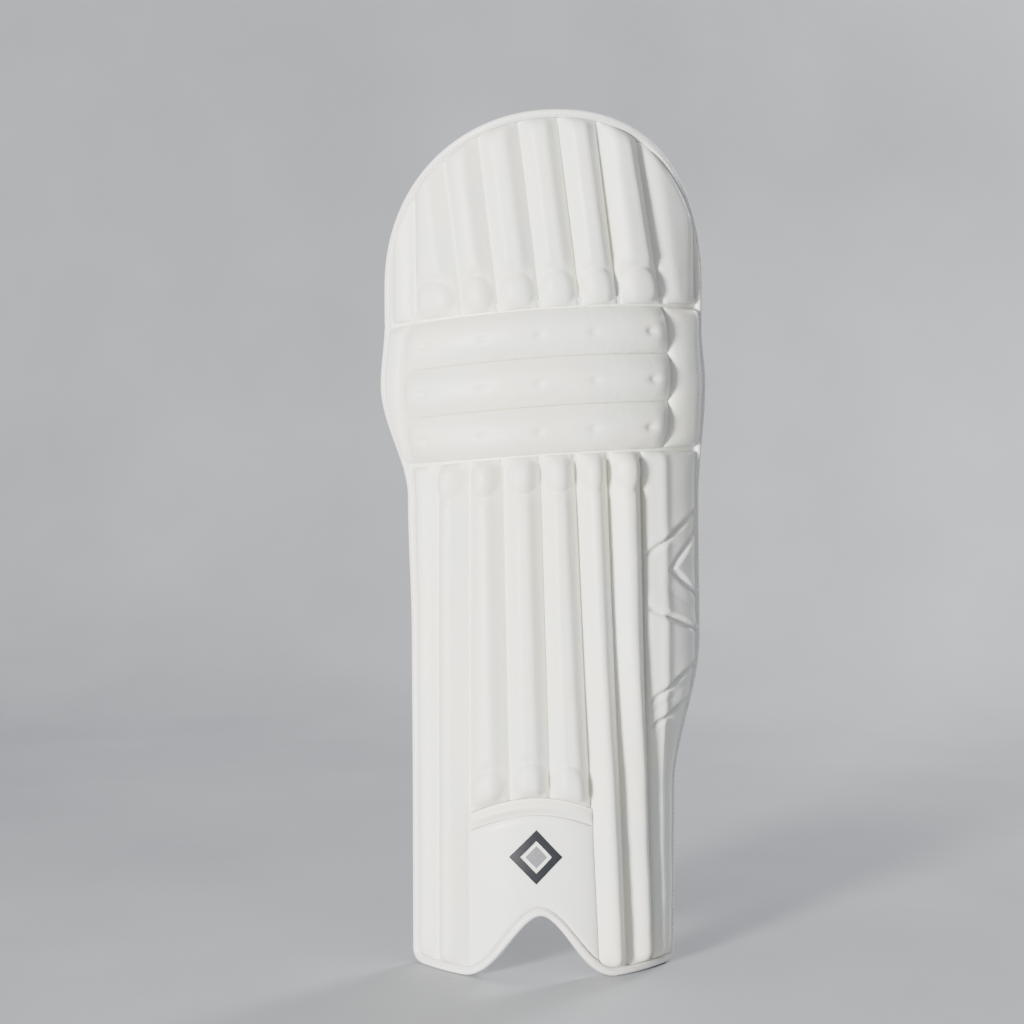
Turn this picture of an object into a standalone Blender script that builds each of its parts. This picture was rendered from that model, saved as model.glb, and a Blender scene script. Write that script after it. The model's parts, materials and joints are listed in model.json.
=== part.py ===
"""Adult cricket batting leg pad: a padded trough of three sections that fold at two creases.

Frame: the strike face looks along -Y, the leg side along +Y, +Z is up.
The origin is on the floor, midway across the pad. All lengths are in metres.
Every padded piece lies on one curved middle surface, given by place(x, z, depth):
depth is positive towards the strike face and negative towards the leg.
"""
import math

import bpy
from mathutils import Vector

# Driving dimensions
HEIGHT = 0.720
TROUGH_DEPTH = 0.060
TROUGH_POWER = 2.6
EDGE_Y = 0.0272
LOWER_FOLD_Z = 0.438
UPPER_FOLD_Z = 0.558
FOLD_SLOPE = 0.07
FOLD_ARCH = 0.35
FOLD_Y = EDGE_Y - TROUGH_DEPTH - 0.006
NOTCH_SLOPE = 0.020
GAP = 0.0006

# Half widths of the middle surface by height: (z, left, right)
STATIONS = (
    (0.000, 0.1005, 0.1020),
    (0.150, 0.1005, 0.1020),
    (0.280, 0.1010, 0.1230),
    (0.400, 0.1040, 0.1215),
    (0.495, 0.1270, 0.1270),
    (0.545, 0.1235, 0.1235),
)

# Dome of the top flap
DOME_BASE_Z = 0.575
DOME_POWER = 2.2
DOME_SKEW = 0.010

# Instep arch
ARCH_X = -0.004
ARCH_HALF_WIDTH = 0.060
ARCH_HEIGHT = 0.054

# Layers, as depths from the middle surface
BACKING_THICKNESS = 0.003
PAD_BASE = BACKING_THICKNESS + GAP
SEAM_DEPTH = 0.0060
ROLL_CROWN = 0.0190
EDGE_ROLL_CROWN = 0.0150
WING_CROWN = 0.0135
BOLSTER_CROWN = 0.0230
TOP_ROLL_CROWN = 0.0170
TOP_SIDE_CROWN = 0.0125
INSTEP_PANEL_CROWN = 0.0100
INSTEP_BAND_CROWN = 0.0140
LINING_TOP = -0.0008
LINING_BOTTOM = -0.0032
CUSHION_CROWN = -0.0240
CUSHION_INNER_X = 0.030
CUSHION_ROWS = ((0.042, 0.157), (0.185, 0.346), (0.349, 0.424))
CUSHION_REACH = 0.90
LINING_REACH = 0.93

# Binding that closes every free edge
BINDING_WIDTH = 0.0065
BINDING_FRONT = 0.0090
BINDING_BACK = -0.0050

# Canes inside the shin rolls
CANE_RADIUS = 0.0042
CANE_DEPTH = 0.0102
CANE_CLEARANCE = 0.0005

# Seams between shin channels at mid height, and how far they lean per metre of height
SHIN_SEAMS = (-0.0850, -0.0600, -0.0310, -0.0005, 0.0300, 0.0550, 0.0800)
SHIN_LEAN = (0.000, 0.000, -0.020, -0.030, -0.045, -0.040, -0.025)
SHIN_MID_Z = 0.280

# Seams between top channels at the upper fold, and how far they lean per metre of height
TOP_SEAMS = (-0.1040, -0.0665, -0.0380, -0.0050, 0.0275, 0.0580, 0.0940)
TOP_LEAN = (-0.010, -0.120, -0.115, -0.120, -0.125, -0.125, -0.160)

# Sides of the knee bolsters and of the roll beside them
KNEE_SEAM_X = 0.1040
KNEE_SEAM_SWELL = 0.0060
KNEE_SEAM_SHIFT = 0.0120
KNEE_WING_X = 0.1140

# Straps
STRAP_BOW = 0.012
STRAP_Y = EDGE_Y + 0.0106
STRAP_HALF_SPAN = 0.13
WEBBING_THICKNESS = 0.003
ELASTIC_THICKNESS = 0.002

WHITE_PU = ("white_pu", (0.80, 0.81, 0.77), 0.45)
IVORY_PU = ("ivory_pu", (0.85, 0.83, 0.75), 0.45)
CREAM_MESH = ("cream_mesh", (0.87, 0.82, 0.66), 0.80)
PALE_LINING = ("pale_lining", (0.70, 0.71, 0.72), 0.85)
RED_MESH = ("red_mesh", (0.50, 0.03, 0.06), 0.75)
PINK_PRINT = ("pink_print", (1.00, 0.09, 0.30), 0.50)
WEBBING = ("cream_webbing", (0.85, 0.78, 0.58), 0.85)
ELASTIC = ("striped_elastic", (0.70, 0.70, 0.70), 0.85)
LOOP_PILE = ("loop_pile", (0.60, 0.60, 0.60), 0.90)
CANE = ("cane", (0.62, 0.44, 0.22), 0.60)


def clear_scene():
    for item in list(bpy.data.objects):
        bpy.data.objects.remove(item, do_unlink=True)


def make_material(finish):
    name, colour, roughness = finish
    material = bpy.data.materials.get(name)
    if material is None:
        material = bpy.data.materials.new(name)
        material.use_nodes = True
        shader = material.node_tree.nodes["Principled BSDF"]
        shader.inputs["Base Color"].default_value = (*colour, 1.0)
        shader.inputs["Roughness"].default_value = roughness
        shader.inputs["Metallic"].default_value = 0.0
    return material


def make_object(name, points, faces, finish, origin=(0.0, 0.0, 0.0)):
    """One named object whose mesh is given in world coordinates and whose origin is moved."""
    shift = Vector(origin)
    mesh = bpy.data.meshes.new(name)
    mesh.from_pydata([Vector(point) - shift for point in points], [], faces)
    mesh.materials.append(make_material(finish))
    mesh.update()
    mesh.shade_smooth()
    mesh.set_sharp_from_angle(angle=math.radians(50.0))
    item = bpy.data.objects.new(name, mesh)
    item.location = shift
    bpy.context.scene.collection.objects.link(item)
    return item


# The middle surface

def half_width(x, z):
    """Half width of the middle surface on the side of x, eased between the stations."""
    column = 1 if x < 0.0 else 2
    if z <= STATIONS[0][0]:
        return STATIONS[0][column]
    for low, high in zip(STATIONS, STATIONS[1:]):
        if z <= high[0]:
            blend = (z - low[0]) / (high[0] - low[0])
            blend = blend * blend * (3.0 - 2.0 * blend)
            return low[column] + (high[column] - low[column]) * blend
    return STATIONS[-1][column]


def surface_y(x, z):
    reach = abs(x) / half_width(x, z)
    return EDGE_Y - TROUGH_DEPTH * (1.0 - reach ** TROUGH_POWER)


def surface_normal(x, z):
    """Unit vector across the surface, level, towards the strike face."""
    width = half_width(x, z)
    reach = abs(x) / width
    slope = TROUGH_DEPTH * TROUGH_POWER * reach ** (TROUGH_POWER - 1.0) / width
    side = math.copysign(slope, x)
    return Vector((side, -1.0, 0.0)).normalized()


def place(x, z, depth):
    base = Vector((x, surface_y(x, z), z))
    return base + surface_normal(x, z) * depth


def fold_line(height, x):
    """A crease or bolster seam: it rises towards the wing side and droops at both sides."""
    return height + FOLD_SLOPE * x - FOLD_ARCH * x * x


def fold_z(fold, x, side):
    """Height of a fold's edge at x; side is +1 above the fold and -1 below it."""
    notch = (surface_y(x, fold) - FOLD_Y) * NOTCH_SLOPE + GAP
    return fold_line(fold, x) + side * notch


def arch_z(x):
    reach = (x - ARCH_X) / ARCH_HALF_WIDTH
    if abs(reach) >= 1.0:
        return 0.0
    return ARCH_HEIGHT * math.cos(reach * math.pi / 2.0) ** 2


def dome_z(x):
    """Height of the top flap's outline at x, inside its binding."""
    width = half_width(x, DOME_BASE_Z)
    top = HEIGHT - BINDING_WIDTH - DOME_BASE_Z
    shift = DOME_SKEW * (1.0 - (x / width) ** 2)
    reach = min(1.0, abs(x - shift) / width)
    return DOME_BASE_Z + top * (1.0 - reach ** DOME_POWER) ** (1.0 / DOME_POWER)


def shin_seam(index, z):
    return SHIN_SEAMS[index] + SHIN_LEAN[index] * (z - SHIN_MID_Z)


def top_seam(index, z):
    return TOP_SEAMS[index] + TOP_LEAN[index] * (z - UPPER_FOLD_Z)


def knee_seam(z):
    """Half width of the bolsters, widest at the middle one."""
    reach = (z - 0.5 * (LOWER_FOLD_Z + UPPER_FOLD_Z)) / (UPPER_FOLD_Z - LOWER_FOLD_Z)
    return KNEE_SEAM_X + KNEE_SEAM_SWELL * math.cos(math.pi * max(-0.5, min(0.5, reach)))


def shin_bottom(x):
    return arch_z(x) + BINDING_WIDTH + 2.0 * GAP


def shin_top(x):
    return fold_z(LOWER_FOLD_Z, x, -1)


def knee_bottom(x):
    return fold_z(LOWER_FOLD_Z, x, 1)


def knee_top(x):
    return fold_z(UPPER_FOLD_Z, x, -1)


def top_bottom(x):
    return fold_z(UPPER_FOLD_Z, x, 1)


def top_top(x):
    return dome_z(x) - 2.0 * GAP


# Solids on the middle surface

def closed_grid(columns, rows, outer, inner):
    """Points and faces of a closed slab from two grids of points, with a wall around them."""
    points = [point for column in outer for point in column]
    points += [point for column in inner for point in column]
    offset = (columns + 1) * (rows + 1)

    def at(column, row, layer):
        return layer * offset + column * (rows + 1) + row

    faces = []
    for i in range(columns):
        for j in range(rows):
            corners = ((i, j), (i + 1, j), (i + 1, j + 1), (i, j + 1))
            faces.append([at(a, b, 0) for a, b in corners])
            faces.append([at(a, b, 1) for a, b in reversed(corners)])
    for i in range(columns):
        faces.append([at(i + 1, 0, 0), at(i, 0, 0), at(i, 0, 1), at(i + 1, 0, 1)])
        faces.append([at(i, rows, 0), at(i + 1, rows, 0), at(i + 1, rows, 1), at(i, rows, 1)])
    for j in range(rows):
        faces.append([at(0, j, 0), at(0, j + 1, 0), at(0, j + 1, 1), at(0, j, 1)])
        last = columns
        faces.append([at(last, j + 1, 0), at(last, j, 0), at(last, j, 1), at(last, j + 1, 1)])
    return points, faces


def bulge(u, v, sharp_u, sharp_v):
    """0 at the rim and 1 in the middle of a padded piece."""
    across = 1.0 - abs(2.0 * u - 1.0) ** sharp_u
    along = 1.0 - abs(2.0 * v - 1.0) ** sharp_v
    return math.sqrt(max(0.0, across)) * math.sqrt(max(0.0, along))


def pad(name, left, right, low, high, depths, finish, grid=(4, 6), sharp=(2.0, 8.0), wide=False):
    """A padded piece between two side lines, functions of z, and two end lines, functions of x.

    depths holds the flat face, the rim and the crown. A wide piece spaces its columns
    closer towards its sides.
    """
    flat, rim, crown = depths
    columns, rows = grid
    faced = []
    backed = []
    for i in range(columns + 1):
        u = i / columns
        if wide:
            u = 0.5 - 0.5 * math.cos(math.pi * u)
        face_column = []
        back_column = []
        for j in range(rows + 1):
            v = j / rows
            z = 0.0
            x = 0.0
            for _ in range(4):
                x = left(z) + (right(z) - left(z)) * u
                z = low(x) + (high(x) - low(x)) * v
            depth = rim + (crown - rim) * bulge(u, v, *sharp)
            face_column.append(place(x, z, depth))
            back_column.append(place(x, z, flat))
        faced.append(face_column)
        backed.append(back_column)
    points, faces = closed_grid(columns, rows, faced, backed)
    if crown < flat:
        faces = [list(reversed(face)) for face in faces]
    return make_object(name, points, faces, finish)


def left_edge(z):
    return -half_width(-1.0, z)


def right_edge(z):
    return half_width(1.0, z)


def section_backing(name, low, high, rows):
    depths = (0.0, BACKING_THICKNESS, BACKING_THICKNESS)
    pad(name, left_edge, right_edge, low, high, depths, WHITE_PU, (24, rows), wide=True)


def core_line(left, right, low, high, v):
    """Place (x, z) on the centre line of a roll, and half the roll's width there."""
    x = 0.5 * (left(SHIN_MID_Z) + right(SHIN_MID_Z))
    for _ in range(3):
        z = low(x) + (high(x) - low(x)) * v
        x = 0.5 * (left(z) + right(z))
    return x, z, 0.5 * (right(z) - left(z)) - GAP / 2.0


def cored_roll(name, left, right, low, high, rows):
    """A padded roll along z with an open bore for a cane."""
    around = 8
    bore = CANE_RADIUS + CANE_CLEARANCE
    points = []
    for j in range(rows + 1):
        v = j / rows
        x, z, half = core_line(left, right, low, high, v)
        end_round = math.sqrt(1.0 - abs(2.0 * v - 1.0) ** 10.0)
        shoulder = CANE_DEPTH + bore + 0.0010
        crown = shoulder + (ROLL_CROWN - shoulder) * end_round
        skin = []
        hole = []
        for k in range(around):
            angle = 2.0 * math.pi * (k + 0.5) / around
            turn = math.cos(angle)
            lift = math.sin(angle)
            side = x + math.copysign(abs(turn) ** 0.7, turn) * half
            reach = crown - CANE_DEPTH if lift > 0.0 else CANE_DEPTH - PAD_BASE
            height = low(side) + (high(side) - low(side)) * v
            skin.append(place(side, height, CANE_DEPTH + lift * reach))
            height = low(x) + (high(x) - low(x)) * v
            normal = surface_normal(x, z)
            tangent = Vector((-normal.y, normal.x, 0.0))
            centre = place(x, height, CANE_DEPTH)
            hole.append(centre + (tangent * turn + normal * lift) * bore)
        points += skin + hole
    faces = []
    ring = 2 * around
    for j in range(rows):
        for k in range(around):
            near = j * ring + k
            beside = j * ring + (k + 1) % around
            faces.append([near, near + ring, beside + ring, beside])
            faces.append([near + around, beside + around, beside + around + ring, near + around + ring])
    for k in range(around):
        beside = (k + 1) % around
        faces.append([k, beside, beside + around, k + around])
        top = rows * ring
        faces.append([top + k, top + k + around, top + beside + around, top + beside])
    item = make_object(name, points, faces, WHITE_PU)
    turn_outside_out(item)
    return item


def cane(name, left, right, low, high, rows):
    """A round cane that fills a roll's bore, a little short of both mouths."""
    around = 8
    mouth = 0.25
    places = [core_line(left, right, low, high, j / rows)[:2] for j in range(rows + 1)]
    centres = [place(x, z, CANE_DEPTH) for x, z in places]
    centres[0] = centres[0].lerp(centres[1], mouth)
    centres[-1] = centres[-1].lerp(centres[-2], mouth)
    points = []
    for centre, (x, z) in zip(centres, places):
        normal = surface_normal(x, z)
        tangent = Vector((-normal.y, normal.x, 0.0))
        for k in range(around):
            angle = 2.0 * math.pi * (k + 0.5) / around
            offset = tangent * math.cos(angle) + normal * math.sin(angle)
            points.append(centre + offset * CANE_RADIUS)
    faces = [list(range(around)), [rows * around + k for k in reversed(range(around))]]
    for j in range(rows):
        for k in range(around):
            near = j * around + k
            beside = j * around + (k + 1) % around
            faces.append([near, near + around, beside + around, beside])
    item = make_object(name, points, faces, CANE)
    turn_outside_out(item)
    return item


def binding(name, path, outward_hint):
    """A folded edge strip swept along places (x, z) on the middle surface."""
    points = []
    count = len(path)
    centres = [place(x, z, 0.0) for x, z in path]
    for i, (x, z) in enumerate(path):
        before = centres[max(0, i - 1)]
        after = centres[min(count - 1, i + 1)]
        normal = surface_normal(x, z)
        along = (after - before).normalized()
        outward = normal.cross(along).normalized()
        if outward.dot(outward_hint(x, z)) < 0.0:
            outward = -outward
        for width, depth in ((GAP, BINDING_BACK), (BINDING_WIDTH, BINDING_BACK),
                             (BINDING_WIDTH, BINDING_FRONT), (GAP, BINDING_FRONT)):
            points.append(centres[i] + outward * width + normal * depth)
    faces = [[3, 2, 1, 0], [4 * count - 4 + k for k in range(4)]]
    for i in range(count - 1):
        for k in range(4):
            near = 4 * i + k
            beside = 4 * i + (k + 1) % 4
            faces.append([near, beside, beside + 4, near + 4])
    item = make_object(name, points, faces, IVORY_PU)
    turn_outside_out(item)
    return item


def signed_volume(mesh):
    total = 0.0
    for face in mesh.polygons:
        corners = [mesh.vertices[index].co for index in face.vertices]
        for second, third in zip(corners[1:], corners[2:]):
            total += corners[0].dot(second.cross(third)) / 6.0
    return total


def turn_outside_out(item):
    """Flip a mesh whose faces point in."""
    if signed_volume(item.data) < 0.0:
        item.data.flip_normals()


def strap_y(x):
    return STRAP_Y + STRAP_BOW * (1.0 - (x / STRAP_HALF_SPAN) ** 2)


def band(name, start, end, bottom, top, lift, thickness, finish, origin, slant=0.0, columns=10):
    """A flat strap along x, bowed rearwards; slant carries its end further at the top."""
    near = []
    far = []
    for i in range(columns + 1):
        near_column = []
        far_column = []
        for j in range(3):
            v = j / 2
            x = start + (end + slant * v - start) * i / columns
            z = bottom + (top - bottom) * v
            y = strap_y(x) + lift
            near_column.append(Vector((x, y, z)))
            far_column.append(Vector((x, y + thickness, z)))
        near.append(near_column)
        far.append(far_column)
    points, faces = closed_grid(columns, 2, near, far)
    item = make_object(name, points, faces, finish, origin)
    turn_outside_out(item)
    return item


def round_tab(name, start, end, bottom, top, lift, thickness, finish, origin):
    """A strap's end tab with a half-round tip."""
    steps = 8
    radius = 0.5 * (top - bottom)
    middle = 0.5 * (top + bottom)
    reach = min(radius, 0.7 * (end - start))
    outline = [(start, bottom)]
    for k in range(steps + 1):
        angle = -math.pi / 2.0 + math.pi * k / steps
        outline.append((end - reach + reach * math.cos(angle), middle + radius * math.sin(angle)))
    outline.append((start, top))
    points = []
    for extra in (0.0, thickness):
        points += [Vector((x, strap_y(x) + lift + extra, z)) for x, z in outline]
    size = len(outline)
    faces = []
    for k in range(1, size - 1):
        faces.append([0, k, k + 1])
        faces.append([size, size + k + 1, size + k])
    for k in range(size):
        beside = (k + 1) % size
        faces.append([k, size + k, size + beside, beside])
    item = make_object(name, points, faces, finish, origin)
    turn_outside_out(item)
    return item


# Sub-parts

def level(value):
    """A line that stays at one value."""
    return lambda place_on_line: value


def inset_line(line, amount):
    return lambda value: line(value) + amount


def seam_line(seam, index, amount=0.0):
    return lambda z: seam(index, z) + amount


def band_top(x):
    """Upper arc of the raised band over the instep panel."""
    return 0.1340 + 0.0190 * (1.0 - ((x + 0.006) / 0.058) ** 2)


def panel_top(x):
    return band_top(x) - 0.0145


def build_shin():
    section_backing("shin_backing", shin_bottom, shin_top, 12)
    half_gap = GAP / 2.0
    for index in range(6):
        over_panel = index in (1, 2, 3)
        low = inset_line(band_top, GAP) if over_panel else shin_bottom
        left = seam_line(shin_seam, index)
        right = seam_line(shin_seam, index + 1)
        rows = 6 if over_panel else 12
        cored_roll(f"shin_roll_{index + 1}", left, right, low, shin_top, rows)
        cane(f"shin_cane_{index + 1}", left, right, low, shin_top, rows)
    pad("shin_edge_roll", left_edge, seam_line(shin_seam, 0, -half_gap), shin_bottom, shin_top,
        (PAD_BASE, SEAM_DEPTH, EDGE_ROLL_CROWN), WHITE_PU, (4, 12))
    pad("shin_wing", seam_line(shin_seam, 6, half_gap), right_edge, shin_bottom, shin_top,
        (PAD_BASE, SEAM_DEPTH, WING_CROWN), WHITE_PU, (4, 12))
    panel_left = seam_line(shin_seam, 1, half_gap)
    panel_right = seam_line(shin_seam, 4, -half_gap)
    pad("instep_panel", panel_left, panel_right, shin_bottom, panel_top,
        (PAD_BASE, SEAM_DEPTH, INSTEP_PANEL_CROWN), WHITE_PU, (8, 5))
    pad("instep_band", panel_left, panel_right, inset_line(panel_top, GAP), band_top,
        (PAD_BASE, SEAM_DEPTH, INSTEP_BAND_CROWN), WHITE_PU, (8, 3), (8.0, 2.0))


def build_knee():
    section_backing("knee_backing", knee_bottom, knee_top, 10)
    base = PAD_BASE + GAP
    side_depths = (base, SEAM_DEPTH, EDGE_ROLL_CROWN)
    height = (UPPER_FOLD_Z - LOWER_FOLD_Z) / 3.0
    inner_left = lambda z: GAP - knee_seam(z)
    inner_right = lambda z: knee_seam(z) - KNEE_SEAM_SHIFT - GAP
    for index, label in enumerate(("lower", "middle", "upper")):
        seam = LOWER_FOLD_Z + height * index
        low = knee_bottom if index == 0 else (lambda x, s=seam: fold_line(s, x) + GAP / 2.0)
        high = knee_top if index == 2 else (lambda x, s=seam: fold_line(s + height, x) - GAP / 2.0)
        pad(f"knee_bolster_{label}", inner_left, inner_right, low, high,
            (base, SEAM_DEPTH, BOLSTER_CROWN), WHITE_PU, (14, 5), (12.0, 2.0))
    pad("knee_edge_roll", left_edge, lambda z: -knee_seam(z) - GAP, knee_bottom, knee_top,
        side_depths, WHITE_PU, (4, 10))
    pad("knee_side_roll", lambda z: knee_seam(z) - KNEE_SEAM_SHIFT + GAP,
        level(KNEE_WING_X - GAP), knee_bottom, knee_top, side_depths, WHITE_PU, (4, 10))
    pad("knee_wing", level(KNEE_WING_X + GAP), right_edge, knee_bottom, knee_top,
        (base, SEAM_DEPTH, WING_CROWN), WHITE_PU, (3, 10))


def build_top():
    section_backing("top_backing", top_bottom, top_top, 8)
    half_gap = GAP / 2.0
    for index in range(6):
        pad(f"top_roll_{index + 1}", seam_line(top_seam, index, half_gap),
            seam_line(top_seam, index + 1, -half_gap), top_bottom, top_top,
            (PAD_BASE, SEAM_DEPTH, TOP_ROLL_CROWN), WHITE_PU, (4, 8))
    side_depths = (PAD_BASE, SEAM_DEPTH, TOP_SIDE_CROWN)
    pad("top_edge_roll", left_edge, seam_line(top_seam, 0, -half_gap), top_bottom, top_top,
        side_depths, WHITE_PU, (4, 6))
    pad("top_wing", seam_line(top_seam, 6, half_gap), right_edge, top_bottom, top_top,
        side_depths, WHITE_PU, (4, 6))


def side_path(side, low, high, steps=10):
    """Places down one edge of a section, from its low end to its high end."""
    edge = left_edge if side < 0 else right_edge
    start = low(edge(low(0.0)))
    stop = high(edge(high(0.0)))
    path = []
    for k in range(steps + 1):
        z = start + (stop - start) * k / steps
        path.append((edge(z), z))
    return path


def hem_path(steps=36):
    """Places along the bottom edge, closer together towards its two ends."""
    path = []
    for k in range(steps + 1):
        share = 0.5 - 0.5 * math.cos(math.pi * k / steps)
        x = left_edge(0.0) + (right_edge(0.0) - left_edge(0.0)) * share
        path.append((x, arch_z(x) + BINDING_WIDTH))
    return path


def dome_path(steps=28):
    """Places around the dome, starting and ending on the upper fold."""
    path = []
    for k in range(steps + 1):
        reach = -math.cos(math.pi * k / steps)
        x = reach * half_width(reach, DOME_BASE_Z)
        path.append((x, dome_z(x)))
    start = left_edge(DOME_BASE_Z)
    stop = right_edge(DOME_BASE_Z)
    return [(start, top_bottom(start))] + path + [(stop, top_bottom(stop))]


def build_bindings():
    rearward = lambda x, z: Vector((0.0, 1.0, 0.0))
    downward = lambda x, z: Vector((0.0, 0.0, -1.0))
    around_dome = lambda x, z: Vector((x, abs(x), z - DOME_BASE_Z))
    above_hem = lambda x: BINDING_WIDTH + GAP
    binding("shin_hem", hem_path(), downward)
    for side, label in ((-1, "left"), (1, "right")):
        binding(f"shin_binding_{label}", side_path(side, above_hem, shin_top, 14), rearward)
        binding(f"knee_binding_{label}", side_path(side, knee_bottom, knee_top, 6), rearward)
    binding("top_binding", dome_path(), around_dome)


def build_cushions():
    for side, label in ((-1, "left"), (1, "right")):
        inner = level(side * CUSHION_INNER_X)
        outer = lambda z, s=side: s * CUSHION_REACH * half_width(s, z)
        left, right = (outer, inner) if side < 0 else (inner, outer)
        for index, (low, high) in enumerate(CUSHION_ROWS):
            pad(f"calf_cushion_{label}_{index + 1}", left, right, level(low), level(high),
                (LINING_TOP, -0.008, CUSHION_CROWN), CREAM_MESH, (6, 6), (4.0, 4.0))


def build_loop_patches():
    """Pile patches that the hook tabs close on."""
    pad("knee_loop_patch", level(0.080), level(0.110), level(0.4500), level(0.4880),
        (-0.0105, -0.0120, -0.0120), LOOP_PILE, (4, 3))
    pad("ankle_loop_patch", level(0.072), level(0.096), level(0.1595), level(0.1825),
        (LINING_TOP, -0.0026, -0.0026), LOOP_PILE, (4, 2))


def build_linings():
    """Cloth faces on the leg side: shin channel, knee cup, red flap and printed panel."""
    thin = (LINING_TOP, LINING_BOTTOM, LINING_BOTTOM)
    pad("shin_centre_lining", level(-0.029), level(0.029), inset_line(shin_bottom, 0.002),
        shin_top, thin, PALE_LINING, (6, 10))
    lining_left = lambda z: LINING_REACH * left_edge(z)
    lining_right = lambda z: LINING_REACH * right_edge(z)
    pad("knee_cup_lining", lining_left, lining_right, inset_line(knee_bottom, 0.001),
        inset_line(knee_top, -0.001), (LINING_TOP - GAP, -0.005, -0.009), RED_MESH, (16, 10),
        (6.0, 6.0))
    red_top = lambda x: max(0.617 - 0.48 * abs(x), top_bottom(x) + 0.008)
    pad("knee_lining_flap", lining_left, lining_right, inset_line(top_bottom, 0.001), red_top,
        (LINING_TOP, -0.004, -0.006), RED_MESH, (14, 3), (6.0, 6.0))
    print_half = lambda z: 0.067 - 0.20 * (z - 0.580)
    panel_low = inset_line(red_top, 2.0 * GAP)
    panel_high = inset_line(top_top, -0.003)
    pad("printed_panel", lambda z: -print_half(z), print_half, panel_low, panel_high, thin,
        PINK_PRINT, (8, 6))
    pad("top_inner_panel_left", lining_left, lambda z: -print_half(z) - GAP, panel_low,
        panel_high, thin, WHITE_PU, (5, 6))
    pad("top_inner_panel_right", lambda z: print_half(z) + GAP, lining_right, panel_low,
        panel_high, thin, WHITE_PU, (5, 6))


def closing_strap(name, root, end, tip, low, high):
    """Webbing sewn at its root, with a hook tab that peels about its own rear face."""
    middle = 0.5 * (low + high)
    band(name, root, end, low, high, 0.0, WEBBING_THICKNESS, WEBBING,
         (root, strap_y(root), middle))
    tab_root = end + GAP
    hinge = (tab_root, strap_y(tab_root) + WEBBING_THICKNESS, middle)
    round_tab(f"{name}_tab", tab_root, tip, low, high, 0.0, WEBBING_THICKNESS, WHITE_PU, hinge)


def build_straps():
    """Each strap is sewn at one edge, where its origin lies on its swing axis."""
    closing_strap("knee_strap", -0.127, 0.0985, 0.1225, 0.4535, 0.4845)
    closing_strap("ankle_strap", -0.102, 0.0610, 0.0990, 0.132, 0.184)
    low, high = 0.291, 0.346
    middle = 0.5 * (low + high)
    elastic_root, elastic_end, elastic_inset = 0.124, 0.020, 0.0015
    calf_root, calf_end, calf_slant = -0.102, 0.064, 0.034
    band("calf_elastic", elastic_root, elastic_end, low + elastic_inset, high - elastic_inset,
         0.0, ELASTIC_THICKNESS, ELASTIC, (elastic_root, strap_y(elastic_root), middle), columns=5)
    band("calf_strap", calf_root, calf_end, low, high, ELASTIC_THICKNESS + GAP,
         WEBBING_THICKNESS, WEBBING, (calf_root, strap_y(calf_root), middle), slant=calf_slant)


clear_scene()
build_shin()
build_knee()
build_top()
build_bindings()
build_cushions()
build_loop_patches()
build_linings()
build_straps()
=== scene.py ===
"""Looks of a cricket batting leg pad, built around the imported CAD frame.

Every soft piece is rebuilt as a fine mesh on the same curved middle surface as the frame:
place(x, z, depth), with depth positive towards the strike face (-Y). Lengths are in metres.
"""
import json
import math

import bpy
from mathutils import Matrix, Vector, noise


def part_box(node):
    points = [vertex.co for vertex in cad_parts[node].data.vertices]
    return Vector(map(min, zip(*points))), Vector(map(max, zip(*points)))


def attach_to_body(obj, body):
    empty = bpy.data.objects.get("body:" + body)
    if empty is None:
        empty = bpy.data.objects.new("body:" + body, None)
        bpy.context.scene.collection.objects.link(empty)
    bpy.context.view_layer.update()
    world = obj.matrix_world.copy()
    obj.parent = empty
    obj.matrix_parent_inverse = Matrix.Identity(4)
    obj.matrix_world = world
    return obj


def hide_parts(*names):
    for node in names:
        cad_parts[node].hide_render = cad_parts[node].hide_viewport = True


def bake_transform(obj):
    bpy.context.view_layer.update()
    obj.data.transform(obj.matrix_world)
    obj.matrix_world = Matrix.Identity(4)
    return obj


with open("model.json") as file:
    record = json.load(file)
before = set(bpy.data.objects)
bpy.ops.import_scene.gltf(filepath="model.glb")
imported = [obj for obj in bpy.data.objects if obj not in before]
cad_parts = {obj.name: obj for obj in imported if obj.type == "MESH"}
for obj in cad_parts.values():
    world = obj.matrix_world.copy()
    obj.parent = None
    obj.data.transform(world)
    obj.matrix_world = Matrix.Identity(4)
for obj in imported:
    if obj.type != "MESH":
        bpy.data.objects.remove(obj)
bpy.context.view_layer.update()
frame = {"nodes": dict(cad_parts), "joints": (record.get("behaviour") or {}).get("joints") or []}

JOINTS = {joint["name"]: joint for joint in frame["joints"]}

# Shape of the trough, as in the frame
TROUGH_DEPTH = 0.060
TROUGH_POWER = 2.6
EDGE_Y = 0.0272
FOLD_Y = JOINTS["lower_fold"]["pos_m"][1]
LOWER_FOLD_Z = JOINTS["lower_fold"]["pos_m"][2]
UPPER_FOLD_Z = JOINTS["upper_fold"]["pos_m"][2]
FOLD_SLOPE = 0.07
FOLD_ARCH = 0.35
NOTCH_SLOPE = 0.020
GAP = 0.0006
SEAM_GAP = 0.00004
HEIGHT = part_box("top_binding")[1].z
STATIONS = (
    (0.000, 0.1005, 0.1020),
    (0.150, 0.1005, 0.1020),
    (0.280, 0.1010, 0.1230),
    (0.400, 0.1040, 0.1215),
    (0.495, 0.1270, 0.1270),
    (0.545, 0.1235, 0.1235),
)
DOME_BASE_Z = 0.575
DOME_POWER = 2.2
DOME_SKEW = 0.010
ARCH_X = -0.004
ARCH_HALF_WIDTH = 0.060
ARCH_HEIGHT = 0.054
SHIN_SEAMS = (-0.0850, -0.0600, -0.0310, -0.0005, 0.0300, 0.0550, 0.0800)
SHIN_LEAN = (0.000, 0.000, -0.020, -0.030, -0.045, -0.040, -0.025)
SHIN_MID_Z = 0.280
TOP_SEAMS = (-0.1040, -0.0665, -0.0380, -0.0050, 0.0275, 0.0580, 0.0940)
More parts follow.
